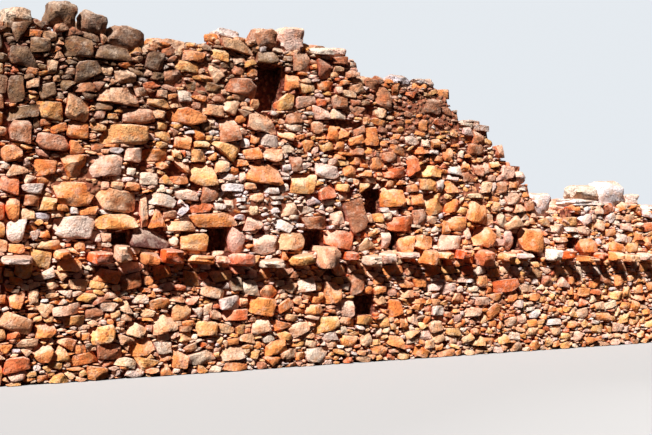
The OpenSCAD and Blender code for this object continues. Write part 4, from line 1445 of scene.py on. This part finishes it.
class WALL_OT_lay_ledge(bpy.types.Operator):
    """Lays the slabs of the ledge, which stand out of both faces"""
    bl_idname = "wall.lay_ledge"
    bl_label = "Lay the ledge"

    def execute(self, context):
        tones = read_tones(context)
        reach = context.scene.stone_sizes.slab_out
        random = np.random.default_rng(61)
        block = block_template(SLAB_CUTS)
        core = block_template(1)
        piles = {bay: Pile() for bay in range(BAYS)}
        for sign, slabs in ((1, FRONT_SLABS), (-1, back_slabs())):
            blocks = {bay: [] for bay in range(BAYS)}
            for s_low, s_high, z_low, z_high, tone, *more in slabs:
                x = sign * ((s_low + s_high) / 2 + NOSE_SHIFT)
                out = reach * random.uniform(0.84, 1.06) * (1 + SLABS_FURTHER * near_deepest(x))
                nose = half_thickness(LEDGE_MIDDLE) + out
                tail = half_thickness(LEDGE_MIDDLE) - SLAB_TAIL
                middle = (x, -sign * (nose + tail) / 2, (z_low + z_high) / 2)
                half = ((s_high - s_low) / 2 * NOSE_SHARE, (nose - tail) / 2, (z_high - z_low) / 2)
                nod = sign * random.uniform(0.0, 0.12)
                turn = random.normal(0, 0.04)
                roll = math.radians(more[0]) if more else random.normal(0, 0.035)
                blocks[bay_of(x - sign * NOSE_SHIFT)].append((middle, half, turn, nod, roll, tone))
            for bay, stones in blocks.items():
                add_blocks(piles[bay], random, stones, tones, block, 0.035, (4.5, 9.0), sign * NOSE_TAPER)
        for bay, pile in piles.items():
            middle = -HALF_LEN + (bay + 0.5) * BAY_LEN
            half = (BAY_LEN / 2, half_thickness(LEDGE_MIDDLE) - PACK_IN,
                    (LEDGE_TOP - LEDGE_LOW) / 2 + CORE_OVER)
            if bay in (0, BAYS - 1):
                half = (BAY_LEN / 2 - PACK_IN / 2, *half[1:])
                middle += PACK_IN / 2 if bay == 0 else -PACK_IN / 2
            co = core.co[None] * np.array(half) + np.array([middle, 0, LEDGE_MIDDLE])
            pile.add(co, core, np.array([tones["earth"]]), np.zeros((1, 3)), 1.0, material=1)
            finishes = stone_finishes("ledge sandstone", 0.3)
            pile.build(f"ledge_slabs_bay_{bay + 1}", finishes, "ledge_stone", f"ledge_bay_{bay + 1}")
        return {"FINISHED"}


def loose_solids(node):
    """The corner points of each separate solid of a node."""
    bm = bmesh.new()
    bm.from_mesh(NODES[node].data)
    bmesh.ops.remove_doubles(bm, verts=bm.verts, dist=SAME_PLACE)
    solids = []
    waiting = set(bm.verts)
    while waiting:
        found = {waiting.pop()}
        to_follow = list(found)
        while to_follow:
            for link in to_follow.pop().link_edges:
                for v in link.verts:
                    if v in waiting:
                        waiting.discard(v)
                        found.add(v)
                        to_follow.append(v)
        solids.append(sorted(tuple(v.co) for v in found))
    bm.free()
    return sorted(solids)


class WALL_OT_set_caps(bpy.types.Operator):
    """Sets the boulders that lie on the broken top, each over its own solid"""
    bl_idname = "wall.set_caps"
    bl_label = "Set the boulders"

    def execute(self, context):
        tones = read_tones(context)
        random = np.random.default_rng(71)
        block = block_template(BOULDER_CUTS)
        for bay in range(BAYS):
            pile = Pile()
            boulders = []
            for corners in loose_solids(f"cap_stones_bay_{bay + 1}"):
                low = [min(v[i] for v in corners) for i in range(3)]
                high = [max(v[i] for v in corners) for i in range(3)]
                middle = tuple((a + b) / 2 for a, b in zip(low, high))
                half = tuple((b - a) * BOULDER_SHARE for a, b in zip(low, high))
                tone = min(CAP_TONES, key=lambda cap: abs(cap[0] - middle[0]))[1]
                if middle[1] > 0:
                    tone = tone_at(random, middle[0], middle[2], False)
                boulders.append((middle, half, 0, 0, 0, tone))
            add_blocks(pile, random, boulders, tones, block, 0.06, (3.0, 6.0))
            finishes = stone_finishes("boulder sandstone", 0.9)
            pile.build(f"cap_boulders_bay_{bay + 1}", finishes, "cap_stone", f"cap_stones_bay_{bay + 1}")
        return {"FINISHED"}


class WALL_OT_strew_rubble(bpy.types.Operator):
    """Strews small rubble over the broken top between the two leaves"""
    bl_idname = "wall.strew_rubble"
    bl_label = "Strew the top rubble"

    def execute(self, context):
        tones = read_tones(context)
        random = np.random.default_rng(83)
        block = block_template(RUBBLE_CUTS)
        piles = {}
        places = np.sort(random.uniform(-HALF_LEN + 0.10, HALF_LEN - 0.10, RUBBLE_COUNT))
        front = top_profile(wall_nodes("front"), places)
        back = top_profile(wall_nodes("back"), places)
        for x, front_top, back_top in zip(places, front, back):
            y = random.uniform(-1, 1) * (half_thickness(front_top) - 0.07)
            if abs(y) > MIDDLE_STRIP:
                top = front_top if y < 0 else back_top
            else:
                top = min(front_top, back_top) - PACK_DOWN
            long = random.uniform(0.035, 0.13)
            half = (long, long * random.uniform(0.6, 1.0), long * random.uniform(0.35, 0.7))
            z = top + half[2] * random.uniform(-0.4, 0.5) - 0.02
            turn = random.uniform(0, math.pi)
            tone = tone_at(random, x, z, long < 0.06)
            stone = ((x, y, z), half, turn, random.normal(0, 0.2), random.normal(0, 0.2), tone)
            piles.setdefault(bay_of(x), []).append(stone)
        for bay, stones in piles.items():
            pile = Pile()
            add_blocks(pile, random, stones, tones, block, 0.05)
            pile.build(f"top_rubble_bay_{bay + 1}", stone_finishes(), "hearting")
        return {"FINISHED"}


class WALL_OT_dress_hearting(bpy.types.Operator):
    """Gives the hearting between the leaves its finish of earth and rubble"""
    bl_idname = "wall.dress_hearting"
    bl_label = "Dress the hearting"

    def execute(self, context):
        for name, node in NODES.items():
            if "hearting" in name:
                node.data.materials.clear()
                node.data.materials.append(shared("earth and rubble", packing))
        return {"FINISHED"}


def add_floor(scene, look):
    """A wide level floor, which lights the wall with a darker colour than it shows."""
    bm = bmesh.new()
    bmesh.ops.create_grid(bm, x_segments=1, y_segments=1, size=FLOOR_HALF)
    mesh = bpy.data.meshes.new("floor")
    bm.to_mesh(mesh)
    bm.free()
    floor = bpy.data.objects.new("floor", mesh)
    scene.collection.objects.link(floor)
    finish = bpy.data.materials.new("plain floor")
    finish.use_nodes = True
    shader = finish.node_tree.nodes["Principled BSDF"]
    shader.inputs["Roughness"].default_value = 1.0
    shader.inputs["Specular IOR Level"].default_value = 0.0
    path = finish.node_tree.nodes.new("ShaderNodeLightPath")
    colour = finish.node_tree.nodes.new("ShaderNodeMix")
    colour.data_type = "RGBA"
    colour.inputs[6].default_value = (*look.bounce, 1)
    colour.inputs[7].default_value = (*look.floor, 1)
    finish.node_tree.links.new(path.outputs["Is Camera Ray"], colour.inputs[0])
    finish.node_tree.links.new(colour.outputs[2], shader.inputs["Base Color"])
    mesh.materials.append(finish)


def add_lamp(scene, name, strength, width, towards):
    """A distant lamp in this direction from the wall."""
    lamp = bpy.data.lights.new(name, "SUN")
    lamp.energy = strength
    lamp.angle = width
    lamp_object = bpy.data.objects.new(name, lamp)
    lamp_object.rotation_euler = Vector(towards).to_track_quat("Z", "Y").to_euler()
    scene.collection.objects.link(lamp_object)


def add_backdrop(scene, look):
    """A plain world: one light from all round, and another colour where it is seen."""
    world = bpy.data.worlds.new("plain world")
    world.use_nodes = True
    nodes = world.node_tree.nodes
    links = world.node_tree.links
    fill = nodes["Background"]
    fill.inputs["Color"].default_value = (*look.fill, 1)
    fill.inputs["Strength"].default_value = look.fill_strength
    backdrop = nodes.new("ShaderNodeBackground")
    path = nodes.new("ShaderNodeLightPath")
    seen = path.outputs["Is Camera Ray"]
    for ray in ("Is Glossy Ray", "Is Transmission Ray"):
        either = nodes.new("ShaderNodeMath")
        either.operation = "MAXIMUM"
        links.new(seen, either.inputs[0])
        links.new(path.outputs[ray], either.inputs[1])
        seen = either.outputs[0]
    choice = nodes.new("ShaderNodeMixShader")
    links.new(seen, choice.inputs[0])
    links.new(fill.outputs[0], choice.inputs[1])
    links.new(backdrop.outputs[0], choice.inputs[2])
    links.new(choice.outputs[0], nodes["World Output"].inputs["Surface"])
    backdrop.inputs["Color"].default_value = (*look.sky, 1)
    scene.world = world


def add_camera(scene):
    """The camera, placed as the photo was taken."""
    camera = bpy.data.cameras.new("camera")
    camera.lens = CAMERA_LENS
    camera.clip_end = 500
    camera_object = bpy.data.objects.new("camera", camera)
    camera_object.location = CAMERA_PLACE
    camera_object.rotation_euler = (math.radians(90 + CAMERA_PITCH), 0, math.radians(-CAMERA_YAW))
    scene.collection.objects.link(camera_object)
    scene.camera = camera_object


class WALL_OT_set_stage(bpy.types.Operator):
    """Sets the floor, the light and the camera"""
    bl_idname = "wall.set_stage"
    bl_label = "Set the stage"

    def execute(self, context):
        scene = context.scene
        look = scene.stage_look
        add_floor(scene, look)
        add_lamp(scene, "key lamp", look.key_strength, look.key_width, TO_KEY)
        add_lamp(scene, "back lamp", look.back_strength, look.back_width, TO_BACK)
        add_backdrop(scene, look)
        add_camera(scene)
        scene.view_settings.view_transform = "Standard"
        return {"FINISHED"}


OPERATORS = (
    WALL_OT_set_stage,
    WALL_OT_lay_leaves,
    WALL_OT_build_ends,
    WALL_OT_lay_ledge,
    WALL_OT_set_caps,
    WALL_OT_strew_rubble,
    WALL_OT_dress_hearting,
)


class WALL_PT_stones(bpy.types.Panel):
    """Lists the wall's sizes, tones and the steps that build it."""
    bl_label = "Dry Stone Wall"
    bl_idname = "WALL_PT_stones"
    bl_space_type = "VIEW_3D"
    bl_region_type = "UI"
    bl_category = "Stone Wall"

    def draw(self, context):
        layout = self.layout
        scene = context.scene
        for title, group in (("Stones", scene.stone_sizes), ("Tones", scene.stone_tones),
                             ("Stage", scene.stage_look)):
            box = layout.box()
            box.label(text=title)
            for name in type(group).__annotations__:
                box.prop(group, name)
        for operator in OPERATORS:
            layout.operator(operator.bl_idname)


CLASSES = (StoneTones, StoneSizes, StageLook, *OPERATORS, WALL_PT_stones)


def register():
    """Makes the classes and the properties known to Blender."""
    for each in CLASSES:
        bpy.utils.register_class(each)
    bpy.types.Scene.stone_tones = PointerProperty(type=StoneTones)
    bpy.types.Scene.stone_sizes = PointerProperty(type=StoneSizes)
    bpy.types.Scene.stage_look = PointerProperty(type=StageLook)


def unregister():
    """Takes them out again."""
    del bpy.types.Scene.stage_look
    del bpy.types.Scene.stone_sizes
    del bpy.types.Scene.stone_tones
    for each in reversed(CLASSES):
        bpy.utils.unregister_class(each)


def main():
    """Builds the scene step by step."""
    register()
    bpy.ops.wall.set_stage()
    bpy.ops.wall.lay_leaves()
    bpy.ops.wall.build_ends()
    bpy.ops.wall.lay_ledge()
    bpy.ops.wall.set_caps()
    bpy.ops.wall.strew_rubble()
    bpy.ops.wall.dress_hearting()


if __name__ == "__main__":
    main()
